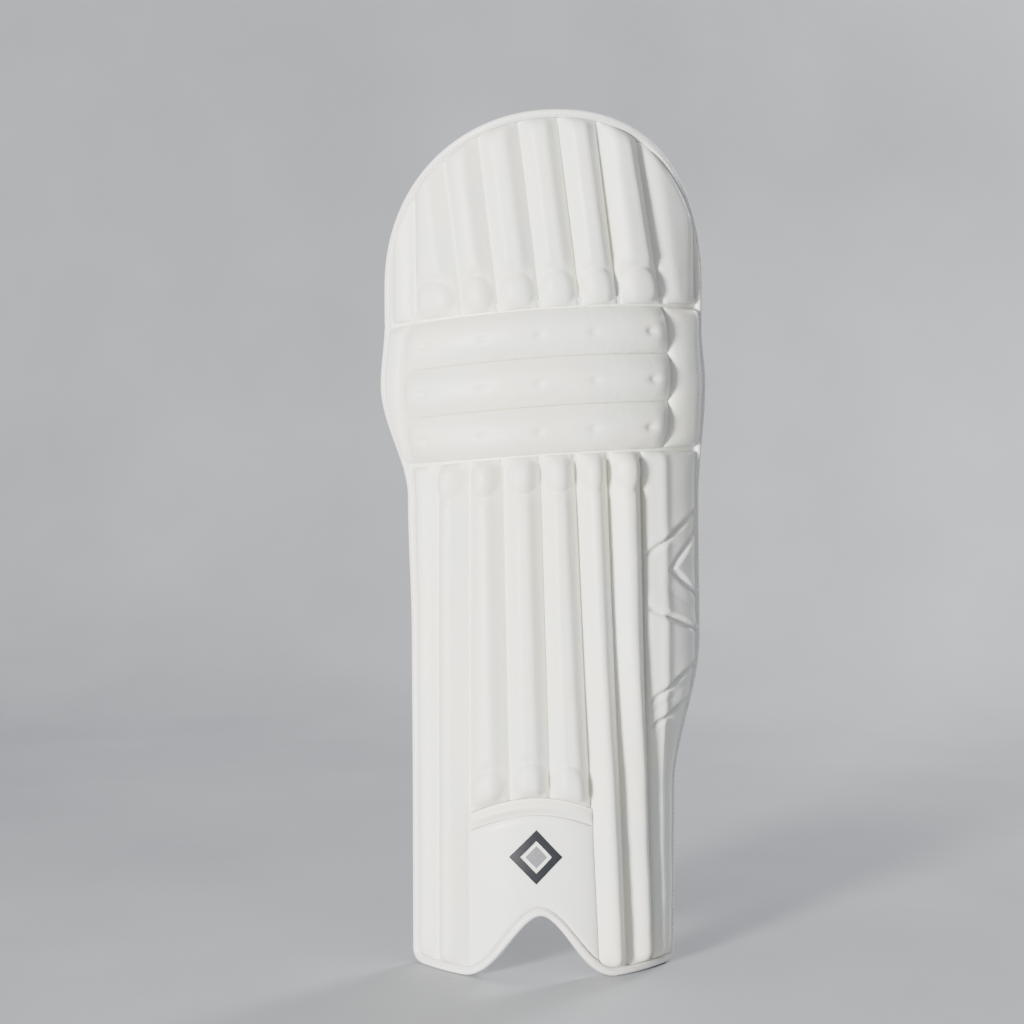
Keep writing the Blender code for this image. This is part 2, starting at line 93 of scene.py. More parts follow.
TOP_LEAN = (-0.010, -0.120, -0.115, -0.120, -0.125, -0.125, -0.160)
KNEE_SEAM_X = 0.1040
KNEE_SEAM_SWELL = 0.0060
KNEE_SEAM_SHIFT = 0.0120
KNEE_WING_X = 0.1140
BAND_TOP_Z = 0.1340
BAND_RISE = 0.0190
BAND_X = -0.006
BAND_HALF_WIDTH = 0.058
BAND_HEIGHT = 0.0145
LINING_SHARE = 0.93
PRINT_BASE_Z = 0.580
PRINT_HALF_WIDTH = 0.067
PRINT_TAPER = 0.20

# Layers, as depths from the middle surface
SHELL_FRONT = 0.003
PAD_BASE = 0.0036
SEAM = 0.0078
VALLEY_WIDTH = 0.0120
KNUCKLE_LENGTH = 0.030
KNUCKLE_SPAN = 0.80
KNUCKLE_SWELL = 0.0054
KNUCKLE_POWER = 2.6
SINK_START = 0.85
SINK_SPAN = 0.5
SHIN_CROWN = 0.0184
SHIN_SINK = 0.32
TOP_CROWN = 0.0172
TOP_SINK = 0.62
SHIN_EDGE_CROWN = 0.0150
TOP_EDGE_CROWN = 0.0135
TOP_WING_CROWN = 0.0130
BROAD_CROWN = 0.0150
END_RADIUS = 0.012
SEWN_DEPTH = 0.0034
SEWN_WIDTH = 0.0016
PUCKER_HEIGHT = 0.0005
PUCKER_REACH = 0.006
PUCKERS_PER_METRE = 260.0
LINING_TOP = -0.0006
BINDING_WIDTH = 0.0065
BINDING_FRONT = 0.0105
BINDING_BACK = -0.0050
STITCH_LENGTH = 0.0026
STITCH_SPACING = 0.0040
STITCH_SECTIONS = ((-0.5, 0.35), (-0.3, 1.0), (0.3, 1.0), (0.5, 0.35))

# Unevenness of the covers: (height, scale of the noise) for each layer
ROLL_WAVES = ((0.0009, 18.0), (0.0004, 60.0))
BOLSTER_WAVES = ((0.0011, 22.0), (0.0005, 70.0))
CUSHION_WAVES = ((0.0014, 20.0), (0.0005, 80.0))
WING_WAVES = ((0.0007, 25.0),)
PANEL_WAVES = ((0.0005, 22.0),)
BAND_WAVES = ((0.0005, 40.0),)
CUP_WAVES = ((0.0008, 26.0),)
INNER_WAVES = ((0.0005, 30.0),)
SHELL_WAVES = ((0.0002, 30.0),)
STRIP_WAVES = ((0.0003, 120.0),)
PILE_WAVES = ((0.0003, 90.0),)
LINING_WAVES = ((0.0003, 60.0),)
STRAP_WAVES = ((0.0003, 45.0),)

# Straps, as in the frame
STRAP_BOW = 0.012
STRAP_Y = EDGE_Y + 0.0106
STRAP_HALF_SPAN = 0.13


# The middle surface

def ease(t):
    t = min(1.0, max(0.0, t))
    return t * t * (3.0 - 2.0 * t)


def half_width(x, z):
    column = 1 if x < 0.0 else 2
    if z <= STATIONS[0][0]:
        return STATIONS[0][column]
    for low, high in zip(STATIONS, STATIONS[1:]):
        if z <= high[0]:
            blend = ease((z - low[0]) / (high[0] - low[0]))
            return low[column] + (high[column] - low[column]) * blend
    return STATIONS[-1][column]


def surface_y(x, z):
    return EDGE_Y - TROUGH_DEPTH * (1.0 - (abs(x) / half_width(x, z)) ** TROUGH_POWER)


def surface_normal(x, z):
    width = half_width(x, z)
    slope = TROUGH_DEPTH * TROUGH_POWER * (abs(x) / width) ** (TROUGH_POWER - 1.0) / width
    return Vector((math.copysign(slope, x), -1.0, 0.0)).normalized()


def place(x, z, depth):
    return Vector((x, surface_y(x, z), z)) + surface_normal(x, z) * depth


def fold_line(height, x):
    return height + FOLD_SLOPE * x - FOLD_ARCH * x * x


def fold_z(fold, x, side, gap=GAP):
    notch = (surface_y(x, fold) - FOLD_Y) * NOTCH_SLOPE + gap
    return fold_line(fold, x) + side * notch


def arch_z(x):
    reach = (x - ARCH_X) / ARCH_HALF_WIDTH
    return 0.0 if abs(reach) >= 1.0 else ARCH_HEIGHT * math.cos(reach * math.pi / 2.0) ** 2


def dome_z(x):
    width = half_width(x, DOME_BASE_Z)
    top = HEIGHT - BINDING_WIDTH - DOME_BASE_Z
    shift = DOME_SKEW * (1.0 - (x / width) ** 2)
    reach = min(1.0, abs(x - shift) / width)
    return DOME_BASE_Z + top * (1.0 - reach ** DOME_POWER) ** (1.0 / DOME_POWER)


def seam_x(seams, lean, middle, index, amount=0.0):
    return lambda z: seams[index] + lean[index] * (z - middle) + amount


def shin_seam(index, amount=0.0):
    return seam_x(SHIN_SEAMS, SHIN_LEAN, SHIN_MID_Z, index, amount)


def top_seam(index, amount=0.0):
    return seam_x(TOP_SEAMS, TOP_LEAN, UPPER_FOLD_Z, index, amount)


def left_edge(z):
    return -half_width(-1.0, z)


def right_edge(z):
    return half_width(1.0, z)


def edge_of(side):
    return left_edge if side < 0 else right_edge


def lining_left(z):
    return LINING_SHARE * left_edge(z)


def lining_right(z):
    return LINING_SHARE * right_edge(z)


def level(value):
    return lambda _: value


def shifted(line, amount):
    return lambda value: line(value) + amount


def knee_seam(z):
    reach = (z - 0.5 * (LOWER_FOLD_Z + UPPER_FOLD_Z)) / (UPPER_FOLD_Z - LOWER_FOLD_Z)
    return KNEE_SEAM_X + KNEE_SEAM_SWELL * math.cos(math.pi * max(-0.5, min(0.5, reach)))


def shin_bottom(x):
    return arch_z(x) + BINDING_WIDTH + GAP


def shin_top(x):
    return fold_z(LOWER_FOLD_Z, x, -1)


def knee_bottom(x):
    return fold_z(LOWER_FOLD_Z, x, 1)


def knee_top(x):
    return fold_z(UPPER_FOLD_Z, x, -1)


def top_bottom(x):
    return fold_z(UPPER_FOLD_Z, x, 1)


def top_top(x):
    return dome_z(x) - GAP


def band_top(x):
    return BAND_TOP_Z + BAND_RISE * (1.0 - ((x - BAND_X) / BAND_HALF_WIDTH) ** 2)


def panel_top(x):
    return band_top(x) - BAND_HEIGHT


def print_half(z):
    return PRINT_HALF_WIDTH - PRINT_TAPER * (z - PRINT_BASE_Z)


# Mesh building

def new_object(name, points, faces, material, uvs=None):
    mesh = bpy.data.meshes.new(name)
    mesh.from_pydata(points, [], faces)
    if uvs is not None:
        layer = mesh.uv_layers.new(name="surface")
        for loop in mesh.loops:
            layer.data[loop.index].uv = uvs[loop.vertex_index]
    mesh.materials.append(material)
    mesh.update()
    mesh.shade_smooth()
    item = bpy.data.objects.new(name, mesh)
    bpy.context.scene.collection.objects.link(item)
    volume = 0.0
    for face in mesh.polygons:
        corners = [mesh.vertices[index].co for index in face.vertices]
        for second, third in zip(corners[1:], corners[2:]):
            volume += corners[0].dot(second.cross(third))
    if volume < 0.0:
        mesh.flip_normals()
    mesh.set_sharp_from_angle(angle=math.radians(60.0))
    return item


def slab(name, columns, rows, spot_at, material):
    """A closed piece, walled along its rim.

    spot_at(u, v) gives a point of its outer side, one of its inner side and the place on the cloth.
    """
    spots = [spot_at(i / columns, j / rows) for i in range(columns + 1) for j in range(rows + 1)]
    points = [outer for outer, _, _ in spots] + [inner for _, inner, _ in spots]
    uvs = [place_on_cloth for _, _, place_on_cloth in spots] * 2

    def at(i, j, layer):
        return layer * len(spots) + i * (rows + 1) + j

    faces = []
    for i in range(columns):
        for j in range(rows):
            quad = ((i, j), (i + 1, j), (i + 1, j + 1), (i, j + 1))
            faces.append([at(a, b, 0) for a, b in quad])
            faces.append([at(a, b, 1) for a, b in reversed(quad)])
    for i in range(columns):
        faces.append([at(i + 1, 0, 0), at(i, 0, 0), at(i, 0, 1), at(i + 1, 0, 1)])
        faces.append([at(i, rows, 0), at(i + 1, rows, 0), at(i + 1, rows, 1), at(i, rows, 1)])
    for j in range(rows):
        faces.append([at(0, j, 0), at(0, j + 1, 0), at(0, j + 1, 1), at(0, j, 1)])
        faces.append([at(columns, j + 1, 0), at(columns, j, 0), at(columns, j, 1),
                      at(columns, j + 1, 1)])
    return new_object(name, points, faces, material, uvs)


def soft_noise(x, z, scale, seed):
    return noise.noise(Vector((x * scale, z * scale, seed)))


def waves(x, z, layers, seed, seed_step=0.0):
    total = 0.0
    for index, (height, scale) in enumerate(layers):
        total += height * soft_noise(x, z, scale, seed + seed_step * index)
    return total


def cover(name, left, right, low, high, flat, depth_at, material, grid, wide=False):
    """A padded piece whose face follows depth_at(u, v, x, z) over a flat inner side."""
    passes, start_z = 4, 0.3

    def spot_at(u, v):
        if wide:
            u = 0.5 - 0.5 * math.cos(math.pi * u)
        z = start_z
        for _ in range(passes):
            x = left(z) + (right(z) - left(z)) * u
            z = low(x) + (high(x) - low(x)) * v
        return place(x, z, depth_at(u, v, x, z)), place(x, z, flat), (arc_length(x, z), z)

    return slab(name, *grid, spot_at, material)


def arc_length(x, z):
    """Signed distance along the trough from its middle, at height z."""
    steps = 8
    width = half_width(x, z)
    total = 0.0
    for k in range(steps):
        reach = abs(x) * (k + 0.5) / steps / width
        slope = TROUGH_DEPTH * TROUGH_POWER * reach ** (TROUGH_POWER - 1.0) / width
        total += math.hypot(1.0, slope) * abs(x) / steps
    return math.copysign(total, x)


def round_end(distance, radius):
    """0 at an end, rising as a quarter circle to 1."""
    t = min(1.0, max(0.0, distance / radius))
    return math.sqrt(1.0 - (1.0 - t) ** 2)


def bell(distance, width):
    return math.exp(-(distance / width) ** 2)


def puff(t, flatness, fullness):
    return (1.0 - abs(2.0 * t - 1.0) ** flatness) ** fullness


def pucker(edge_distance, along, seed):
    """Small gathers beside a sewn seam."""
    near = math.exp(-edge_distance / PUCKER_REACH)
    return PUCKER_HEIGHT * near * noise.noise(Vector((along * PUCKERS_PER_METRE, seed, 0.0)))


def sewn_line(distance):
    """The narrow crease that a row of stitches pulls in."""
    return SEWN_DEPTH * bell(distance, SEWN_WIDTH)


def ridge(side, width):
    """Cross-section of a sewn channel: flat valleys at its seams and a soft top."""
    return ease(side / min(VALLEY_WIDTH, 0.5 * width))


def both_ends(x, z, low, high, radius=END_RADIUS):
    """Rounds a cover off at its lower and upper ends."""
    return round_end(z - low(x), radius) * round_end(high(x) - z, radius)


def roll_depth(left, right, low, high, crown, knuckles, sink, seed):
    """Face of a long padded channel; knuckles names the ends that swell: 'low', 'high'.

    Around a knuckle the channel sinks by the share sink.
    """
    def depth(u, v, x, z):
        width = right(z) - left(z)
        side = min(u, 1.0 - u) * width
        height = (crown - SEAM + waves(x, z, ROLL_WAVES, seed, 5.0)) * ridge(side, width)
        for end, distance in (("high", high(x) - z), ("low", z - low(x))):
            if end in knuckles:
                reach = math.hypot((2.0 * u - 1.0) / KNUCKLE_SPAN,
                                   2.0 * distance / KNUCKLE_LENGTH - 1.0)
                swell = math.sqrt(max(0.0, 1.0 - reach ** KNUCKLE_POWER))
                near = 1.0 - ease((distance / KNUCKLE_LENGTH - SINK_START) / SINK_SPAN)
                height = height * (1.0 - sink * near) + KNUCKLE_SWELL * swell
        return SEAM + height * both_ends(x, z, low, high) - sewn_line(side) + pucker(side, z, seed)
    return depth


def broad_depth(left, right, low, high, span, seed):
    """Face of a broad soft roll; span is the part of its rounded section that this piece takes."""
    first, last = span

    def depth(u, v, x, z):
        share = first + (last - first) * u
        height = (BROAD_CROWN - SEAM + waves(x, z, ROLL_WAVES, 62.0, 5.0)) * puff(share, 2.6, 0.6)
        side = min(share, 1.0 - share) * (right(z) - left(z)) / (last - first)
        return SEAM + height * both_ends(x, z, low, high) - sewn_line(side) + pucker(side, z, seed)
    return depth


def sweep(name, centres, sides, fronts, profile, material):
    """A solid strip whose profile points (side, front) follow a path."""
    size = len(profile)
    count = len(centres)
    profile_length = 0.03
    points = []
    uvs = []
    travelled = 0.0
    for i in range(count):
        if i:
            travelled += (centres[i] - centres[i - 1]).length
        for k, (side, front) in enumerate(profile):
            points.append(centres[i] + sides[i] * side + fronts[i] * front)
            uvs.append((travelled, k / size * profile_length))
    faces = []
    for i in range(count - 1):
        for k in range(size):
            near = i * size + k
            beside = i * size + (k + 1) % size
            faces.append([near, beside, beside + size, near + size])
    faces.append([k for k in reversed(range(size))])
    faces.append([(count - 1) * size + k for k in range(size)])
    return new_object(name, points, faces, material, uvs)


def rounded_profile(low_side, high_side, low_front, high_front, steps=20, power=3.2):
    """A rounded rectangle as a superellipse."""
    centre_side = 0.5 * (low_side + high_side)
    centre_front = 0.5 * (low_front + high_front)
    half_side = 0.5 * (high_side - low_side)
    half_front = 0.5 * (high_front - low_front)
    profile = []
    for k in range(steps):
        angle = 2.0 * math.pi * k / steps
        turn = math.cos(angle)
        lift = math.sin(angle)
        side = math.copysign(abs(turn) ** (2.0 / power), turn) * half_side
        front = math.copysign(abs(lift) ** (2.0 / power), lift) * half_front
        profile.append((centre_side + side, centre_front + front))
    return profile


def stitches(name, points, normals, radius, material, body, slot):
    """A row of short thread stitches, one small bead each, along a path of points."""
    beads = []
    faces = []
    travelled = 0.0
    due = STITCH_SPACING
    ring = 6
    for a, b, normal in zip(points, points[1:], normals):
        step = (b - a).length
        while step > 0.0 and due <= travelled + step:
            spot = a.lerp(b, (due - travelled) / step)
            along = (b - a).normalized()
            across = normal.cross(along).normalized()
            base = len(beads)
            for share, swell in STITCH_SECTIONS:
                for k in range(ring):
                    angle = 2.0 * math.pi * k / ring
                    offset = across * math.cos(angle) + normal * math.sin(angle)
                    beads.append(spot + along * STITCH_LENGTH * share + offset * radius * swell)
            faces.append([base + k for k in reversed(range(ring))])
            faces.append([base + 3 * ring + k for k in range(ring)])
            for part in range(3):
                for k in range(ring):
                    near = base + part * ring + k
                    beside = base + part * ring + (k + 1) % ring
                    faces.append([near, beside, beside + ring, near + ring])
            due += STITCH_SPACING
        travelled += step
    attach(new_object(name, beads, faces, material), body, slot)


def attach(item, body, slot, *nodes):
    """Rides on a body and stands for the nodes it replaces; slot is not used."""
    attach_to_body(item, body)
    if nodes:
        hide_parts(*nodes)


# Materials

def make_node(tree, kind, inputs=None, **settings):
    made = tree.nodes.new(kind)
    for key, value in settings.items():
        setattr(made, key, value)
    for key, value in (inputs or {}).items():
        if isinstance(value, bpy.types.NodeSocket):
            tree.links.new(value, made.inputs[key])
        else:
            made.inputs[key].default_value = value
    return made


def start_material(name, roughness, sheen=0.0, specular=0.5):
    material = bpy.data.materials.new(name)
    material.use_nodes = True
    tree = material.node_tree
    shader = tree.nodes["Principled BSDF"]
    shader.inputs["Roughness"].default_value = roughness
    shader.inputs["Sheen Weight"].default_value = sheen
    shader.inputs["Specular IOR Level"].default_value = specular
    return material, tree, shader


def object_coords(tree):
    return make_node(tree, "ShaderNodeTexCoord").outputs["Object"]


def surface_coords(tree):
    return make_node(tree, "ShaderNodeTexCoord").outputs["UV"]


def noise_factor(tree, coords, scale, detail=3.0, rough=0.55):
    made = make_node(tree, "ShaderNodeTexNoise", {"Vector": coords, "Scale": scale,
                                                  "Detail": detail, "Roughness": rough})
    return made.outputs["Fac"]


def ramp(tree, factor, low, high, colour_low, colour_high):
    made = make_node(tree, "ShaderNodeValToRGB", {"Fac": factor})
    made.color_ramp.elements[0].position = low
    made.color_ramp.elements[0].color = (*colour_low, 1.0)
    made.color_ramp.elements[1].position = high
    made.color_ramp.elements[1].color = (*colour_high, 1.0)
    return made.outputs["Color"]


def mix_colour(tree, factor, first, second):
    made = make_node(tree, "ShaderNodeMix", data_type="RGBA")
    for index, value in ((0, factor), (6, first), (7, second)):
        if isinstance(value, bpy.types.NodeSocket):
            tree.links.new(value, made.inputs[index])
        elif index == 0:
            made.inputs[index].default_value = value
        else:
            made.inputs[index].default_value = (*value, 1.0)
    return made.outputs[2]


def arithmetic(tree, operation, first, second=0.0):
    made = make_node(tree, "ShaderNodeMath", {0: first, 1: second}, operation=operation)
    return made.outputs[0]


def remap(tree, value, to_low, to_high, from_low=0.0, from_high=1.0):
    made = make_node(tree, "ShaderNodeMapRange", {"Value": value, "From Min": from_low,
                                                  "From Max": from_high, "To Min": to_low,
                                                  "To Max": to_high})
    return made.outputs["Result"]


def split_axes(tree, coords):
    return make_node(tree, "ShaderNodeSeparateXYZ", {"Vector": coords}).outputs


def paint(tree, shader, colour):
    tree.links.new(colour, shader.inputs["Base Color"])


def vary_roughness(tree, shader, coords, scale, low, high):
    result = remap(tree, noise_factor(tree, coords, scale), low, high)
    tree.links.new(result, shader.inputs["Roughness"])


def darker(colour, share):
    return tuple(share * channel for channel in colour)


def add_bumps(tree, shader, layers):
    """layers holds (height socket, distance, strength), coarse first."""
    normal = None
    for height, distance, strength in layers:
        made = make_node(tree, "ShaderNodeBump", {"Height": height, "Distance": distance,
                                                  "Strength": strength})
        if normal is not None:
            tree.links.new(normal, made.inputs["Normal"])
        normal = made.outputs["Normal"]
    tree.links.new(normal, shader.inputs["Normal"])


def leather_material(name, colour, tint, roughness=0.46, grain=0.35):
    """Coated leather: pebble grain, soft creases, faint tint and rubbed patches."""
    material, tree, shader = start_material(name, roughness, sheen=0.04)
    coords = object_coords(tree)
    base = ramp(tree, noise_factor(tree, coords, 14.0, 4.0), 0.38, 0.66, colour, tint)
    marks = remap(tree, noise_factor(tree, coords, 55.0, 6.0, 0.7), 0.0, 0.35, 0.60, 0.80)
    paint(tree, shader, mix_colour(tree, marks, base, darker(colour, 0.90)))
    vary_roughness(tree, shader, coords, 35.0, roughness - 0.07, roughness + 0.10)
    pebble = make_node(tree, "ShaderNodeTexVoronoi", {"Vector": coords, "Scale": 850.0},
                       feature="SMOOTH_F1")
    add_bumps(tree, shader, (
        (noise_factor(tree, coords, 120.0, 5.0), 0.0009, 0.25),
        (pebble.outputs["Distance"], 0.0004, grain),
    ))
    return material


def sine_size(tree, value, period):
    """Size of a wave along value: 0 at each multiple of period and 1 between."""
    return arithmetic(tree, "ABSOLUTE", arithmetic(
        tree, "SINE", arithmetic(tree, "MULTIPLY", value, math.pi / period)))


def lattice(tree, coords, cell):
    """A staggered dot lattice: 0 at each cell's centre, rising towards its edge."""
    lean = 0.57735
    x, y, _ = split_axes(tree, coords)
    wave_a = arithmetic(tree, "SINE", arithmetic(tree, "MULTIPLY", x, math.pi / cell))
    wave_b = arithmetic(tree, "SINE", arithmetic(tree, "MULTIPLY", y, math.pi * lean / cell))
    return arithmetic(tree, "ABSOLUTE", arithmetic(tree, "MULTIPLY", wave_a, wave_b))


def diamond(tree, coords, cell):
    """Height of a diamond net, whose threads run both ways at a slant."""
    x, y, _ = split_axes(tree, coords)
    total = arithmetic(tree, "ADD", x, y)
    change = arithmetic(tree, "SUBTRACT", x, y)
    return arithmetic(tree, "MULTIPLY", sine_size(tree, total, cell), sine_size(tree, change, cell))


def mesh_cloth_material(name, thread, hollow, cell, depth):
    """Knitted air mesh: a diamond net with darker pores."""
    material, tree, shader = start_material(name, 0.82, sheen=0.25, specular=0.25)
    pores = diamond(tree, surface_coords(tree), cell)
    cloth = ramp(tree, pores, 0.15, 0.75, thread, hollow)
    cloud = noise_factor(tree, object_coords(tree), 22.0, 4.0)
    soft = remap(tree, cloud, 0.0, 0.4, 0.45, 0.8)
    paint(tree, shader, mix_colour(tree, soft, cloth, darker(thread, 0.93)))
    inverse = arithmetic(tree, "SUBTRACT", 1.0, pores)
    add_bumps(tree, shader, (
        (noise_factor(tree, object_coords(tree), 300.0), 0.0006, 0.2),
        (inverse, depth, 0.7),
    ))
    vary_roughness(tree, shader, object_coords(tree), 60.0, 0.74, 0.90)
    return material


def brushed_material(name, colour, tint):
    """Short-napped lining or loop pile."""
    material, tree, shader = start_material(name, 0.92, sheen=0.5, specular=0.15)
    coords = object_coords(tree)
    paint(tree, shader, ramp(tree, noise_factor(tree, coords, 90.0, 6.0, 0.7), 0.35, 0.7, colour, tint))
    add_bumps(tree, shader, ((noise_factor(tree, coords, 1400.0, 4.0, 0.8), 0.0006, 0.6),))
    vary_roughness(tree, shader, coords, 70.0, 0.85, 0.98)
    return material


def stripe_mask(tree, height, low, high):
    above = arithmetic(tree, "GREATER_THAN", height, low)
    below = arithmetic(tree, "LESS_THAN", height, high)
    return arithmetic(tree, "MULTIPLY", above, below)


def woven_material(name, colour, stripes, stripe_colour, rib=0.0011):
    """Webbing: cross ribs and long yarns, with stripes at heights given in metres."""
    material, tree, shader = start_material(name, 0.80, sheen=0.3, specular=0.2)
    coords = object_coords(tree)
    x, _, height = split_axes(tree, coords)
    tone = ramp(tree, noise_factor(tree, coords, 260.0, 4.0), 0.3, 0.75, colour, darker(colour, 0.90))
    for low, high in stripes:
        tone = mix_colour(tree, stripe_mask(tree, height, low, high), tone, stripe_colour)
    paint(tree, shader, tone)
    across = sine_size(tree, x, rib)
    along = sine_size(tree, height, rib * 0.8)
    add_bumps(tree, shader, ((arithmetic(tree, "ADD", across, along), 0.0004, 0.7),))
    vary_roughness(tree, shader, coords, 80.0, 0.72, 0.88)
    return material


def cane_material():
    material, tree, shader = start_material("cane_grain", 0.55)
    coords = object_coords(tree)
    stretched = make_node(tree, "ShaderNodeMapping", {"Vector": coords, "Scale": (400.0, 400.0, 12.0)})
    fibres = make_node(tree, "ShaderNodeTexNoise", {"Vector": stretched.outputs[0], "Scale": 1.0,
                                                    "Detail": 6.0})
    paint(tree, shader, ramp(tree, fibres.outputs["Fac"], 0.3, 0.7, (0.62, 0.43, 0.20),
                             (0.36, 0.22, 0.09)))
    add_bumps(tree, shader, ((fibres.outputs["Fac"], 0.0004, 0.5),))
    vary_roughness(tree, shader, coords, 50.0, 0.48, 0.66)
    return material


def print_material():
    """Pink coated cloth with black slanting side stripes and a lattice of dots."""
    material, tree, shader = start_material("pink_printed_cloth", 0.48, sheen=0.05)
    x, _, height = split_axes(tree, object_coords(tree))
    side = arithmetic(tree, "ABSOLUTE", x)
    edge = arithmetic(tree, "SUBTRACT", print_half(0.0),
                      arithmetic(tree, "MULTIPLY", height, PRINT_TAPER))
    inside = arithmetic(tree, "SUBTRACT", edge, side)
    pink = ramp(tree, noise_factor(tree, object_coords(tree), 40.0), 0.3, 0.7,
                (1.0, 0.075, 0.27), (0.86, 0.045, 0.20))
    dot_cell, stripe_width = 0.0062, 0.0088
    dot_coords = make_node(tree, "ShaderNodeCombineXYZ", {"X": x, "Y": height})
    dots = lattice(tree, dot_coords.outputs[0], dot_cell)
    grow = remap(tree, height, 0.52, 1.0, 0.585, 0.665)
    spot = arithmetic(tree, "GREATER_THAN", dots, grow)
    dotted = mix_colour(tree, spot, pink, (0.012, 0.010, 0.020))
    stripe = arithmetic(tree, "LESS_THAN", inside, stripe_width)
    paint(tree, shader, mix_colour(tree, stripe, dotted, (0.010, 0.010, 0.016)))
    weave = make_node(tree, "ShaderNodeTexVoronoi", {"Vector": object_coords(tree), "Scale": 1100.0})
    add_bumps(tree, shader, ((weave.outputs["Distance"], 0.0003, 0.3),))
    vary_roughness(tree, shader, object_coords(tree), 45.0, 0.42, 0.58)
    return material


def line_material(name, colour, roughness=0.5):
    """Thread, ink and small trim, with a fine twist and uneven shine."""
    material, tree, shader = start_material(name, roughness)
    coords = object_coords(tree)
    paint(tree, shader, ramp(tree, noise_factor(tree, coords, 300.0), 0.3, 0.7, colour,
                             darker(colour, 0.8)))
    add_bumps(tree, shader, ((noise_factor(tree, coords, 2200.0), 0.0002, 0.4),))
    vary_roughness(tree, shader, coords, 120.0, roughness - 0.08, roughness + 0.08)
    return material


WHITE = (0.830, 0.838, 0.780)
IVORY = (0.880, 0.855, 0.740)
BLACK = (0.010, 0.011, 0.016)

front_leather = leather_material("front_leather", WHITE, IVORY)
wing_leather = leather_material("wing_leather", (0.815, 0.830, 0.790), (0.85, 0.84, 0.76))
panel_leather = leather_material("panel_leather", (0.850, 0.855, 0.820), (0.87, 0.855, 0.79),
                                 0.40, 0.22)
inner_leather = leather_material("inner_leather", (0.800, 0.800, 0.765), (0.82, 0.80, 0.73), 0.44)
binding_leather = leather_material("binding_leather", (0.845, 0.850, 0.830), (0.86, 0.84, 0.77),
                                   0.38, 0.25)
tab_leather = leather_material("tab_leather", (0.86, 0.86, 0.84), (0.87, 0.85, 0.79), 0.36, 0.2)
cream_mesh = mesh_cloth_material("cream_air_mesh", (0.90, 0.85, 0.69), (0.76, 0.70, 0.53),
                                 0.0036, 0.0006)
red_mesh = mesh_cloth_material("red_fine_mesh", (0.60, 0.020, 0.050), (0.36, 0.009, 0.024),
                               0.0030, 0.0005)
pale_lining = brushed_material("pale_lining", (0.66, 0.67, 0.69), (0.55, 0.56, 0.58))
loop_pile = brushed_material("loop_pile", (0.60, 0.60, 0.60), (0.48, 0.48, 0.49))
thread = line_material("white_thread", (0.80, 0.80, 0.76))
grey_ink = line_material("grey_ink", (0.20, 0.20, 0.22), 0.42)
black_ink = line_material("black_ink", BLACK, 0.38)
pink_line = line_material("pink_line", (1.0, 0.10, 0.32), 0.45)
cane = cane_material()
printed = print_material()


# Strike face

HALF_SEAM = SEAM_GAP / 2.0


def build_shell(name, node, body, low, high, rows):
    """The stiff backing under the padding, seen between and behind the soft pieces."""
    depth = lambda u, v, x, z: SHELL_FRONT + waves(x, z, SHELL_WAVES, 3.0)
    item = cover(name, left_edge, right_edge, low, high, 0.0, depth, inner_leather, (72, rows), True)
    attach(item, body, "white_pu", node)


def build_shin_front():
    build_shell("shin_shell", "shin_backing", "shin", shin_bottom, shin_top, 60)
    for index in range(6):
        over_panel = index in (1, 2, 3)
        low = shifted(band_top, GAP) if over_panel else shin_bottom
        left = shin_seam(index, HALF_SEAM)
        right = shin_seam(index + 1, -HALF_SEAM)
        knuckles = ("low", "high") if over_panel else ("high",)
        depth = roll_depth(left, right, low, shin_top, SHIN_CROWN, knuckles, SHIN_SINK, 10.0 + index)
        item = cover(f"shin_roll_cover_{index + 1}", left, right, low, shin_top, PAD_BASE, depth,
                     front_leather, (22, 150), True)
        attach(item, "shin", "white_pu", f"shin_roll_{index + 1}")
    right = shin_seam(0, -HALF_SEAM)
    depth = roll_depth(left_edge, right, shin_bottom, shin_top, SHIN_EDGE_CROWN, (), 0.0, 21.0)
    item = cover("shin_edge_roll_cover", left_edge, right, shin_bottom, shin_top, PAD_BASE, depth,
                 front_leather, (20, 130), True)
    attach(item, "shin", "white_pu", "shin_edge_roll")


# Grooves of the wing: start and end as (share across the wing, height)
WING_GROOVES = (
    ((-0.05, 0.352), (1.05, 0.392)),
    ((1.05, 0.376), (0.42, 0.341)),
    ((0.42, 0.341), (1.05, 0.314)),
    ((-0.05, 0.311), (1.05, 0.286)),
    ((-0.05, 0.228), (1.05, 0.262)),
    ((-0.05, 0.207), (0.90, 0.229)),
)


def groove_offset(u, z, width, groove):
    """Distance on the wing from a point to a sewn groove, and the side it lies on, 1 or -1."""
    (u0, z0), (u1, z1) = groove
    start = Vector((u0 * width, z0))
    line = Vector((u1 * width, z1)) - start
    offset = Vector((u * width, z)) - start
    share = min(1.0, max(0.0, offset.dot(line) / line.length_squared))
    side = math.copysign(1.0, line.x * offset.y - line.y * offset.x)
    return (offset - line * share).length, side


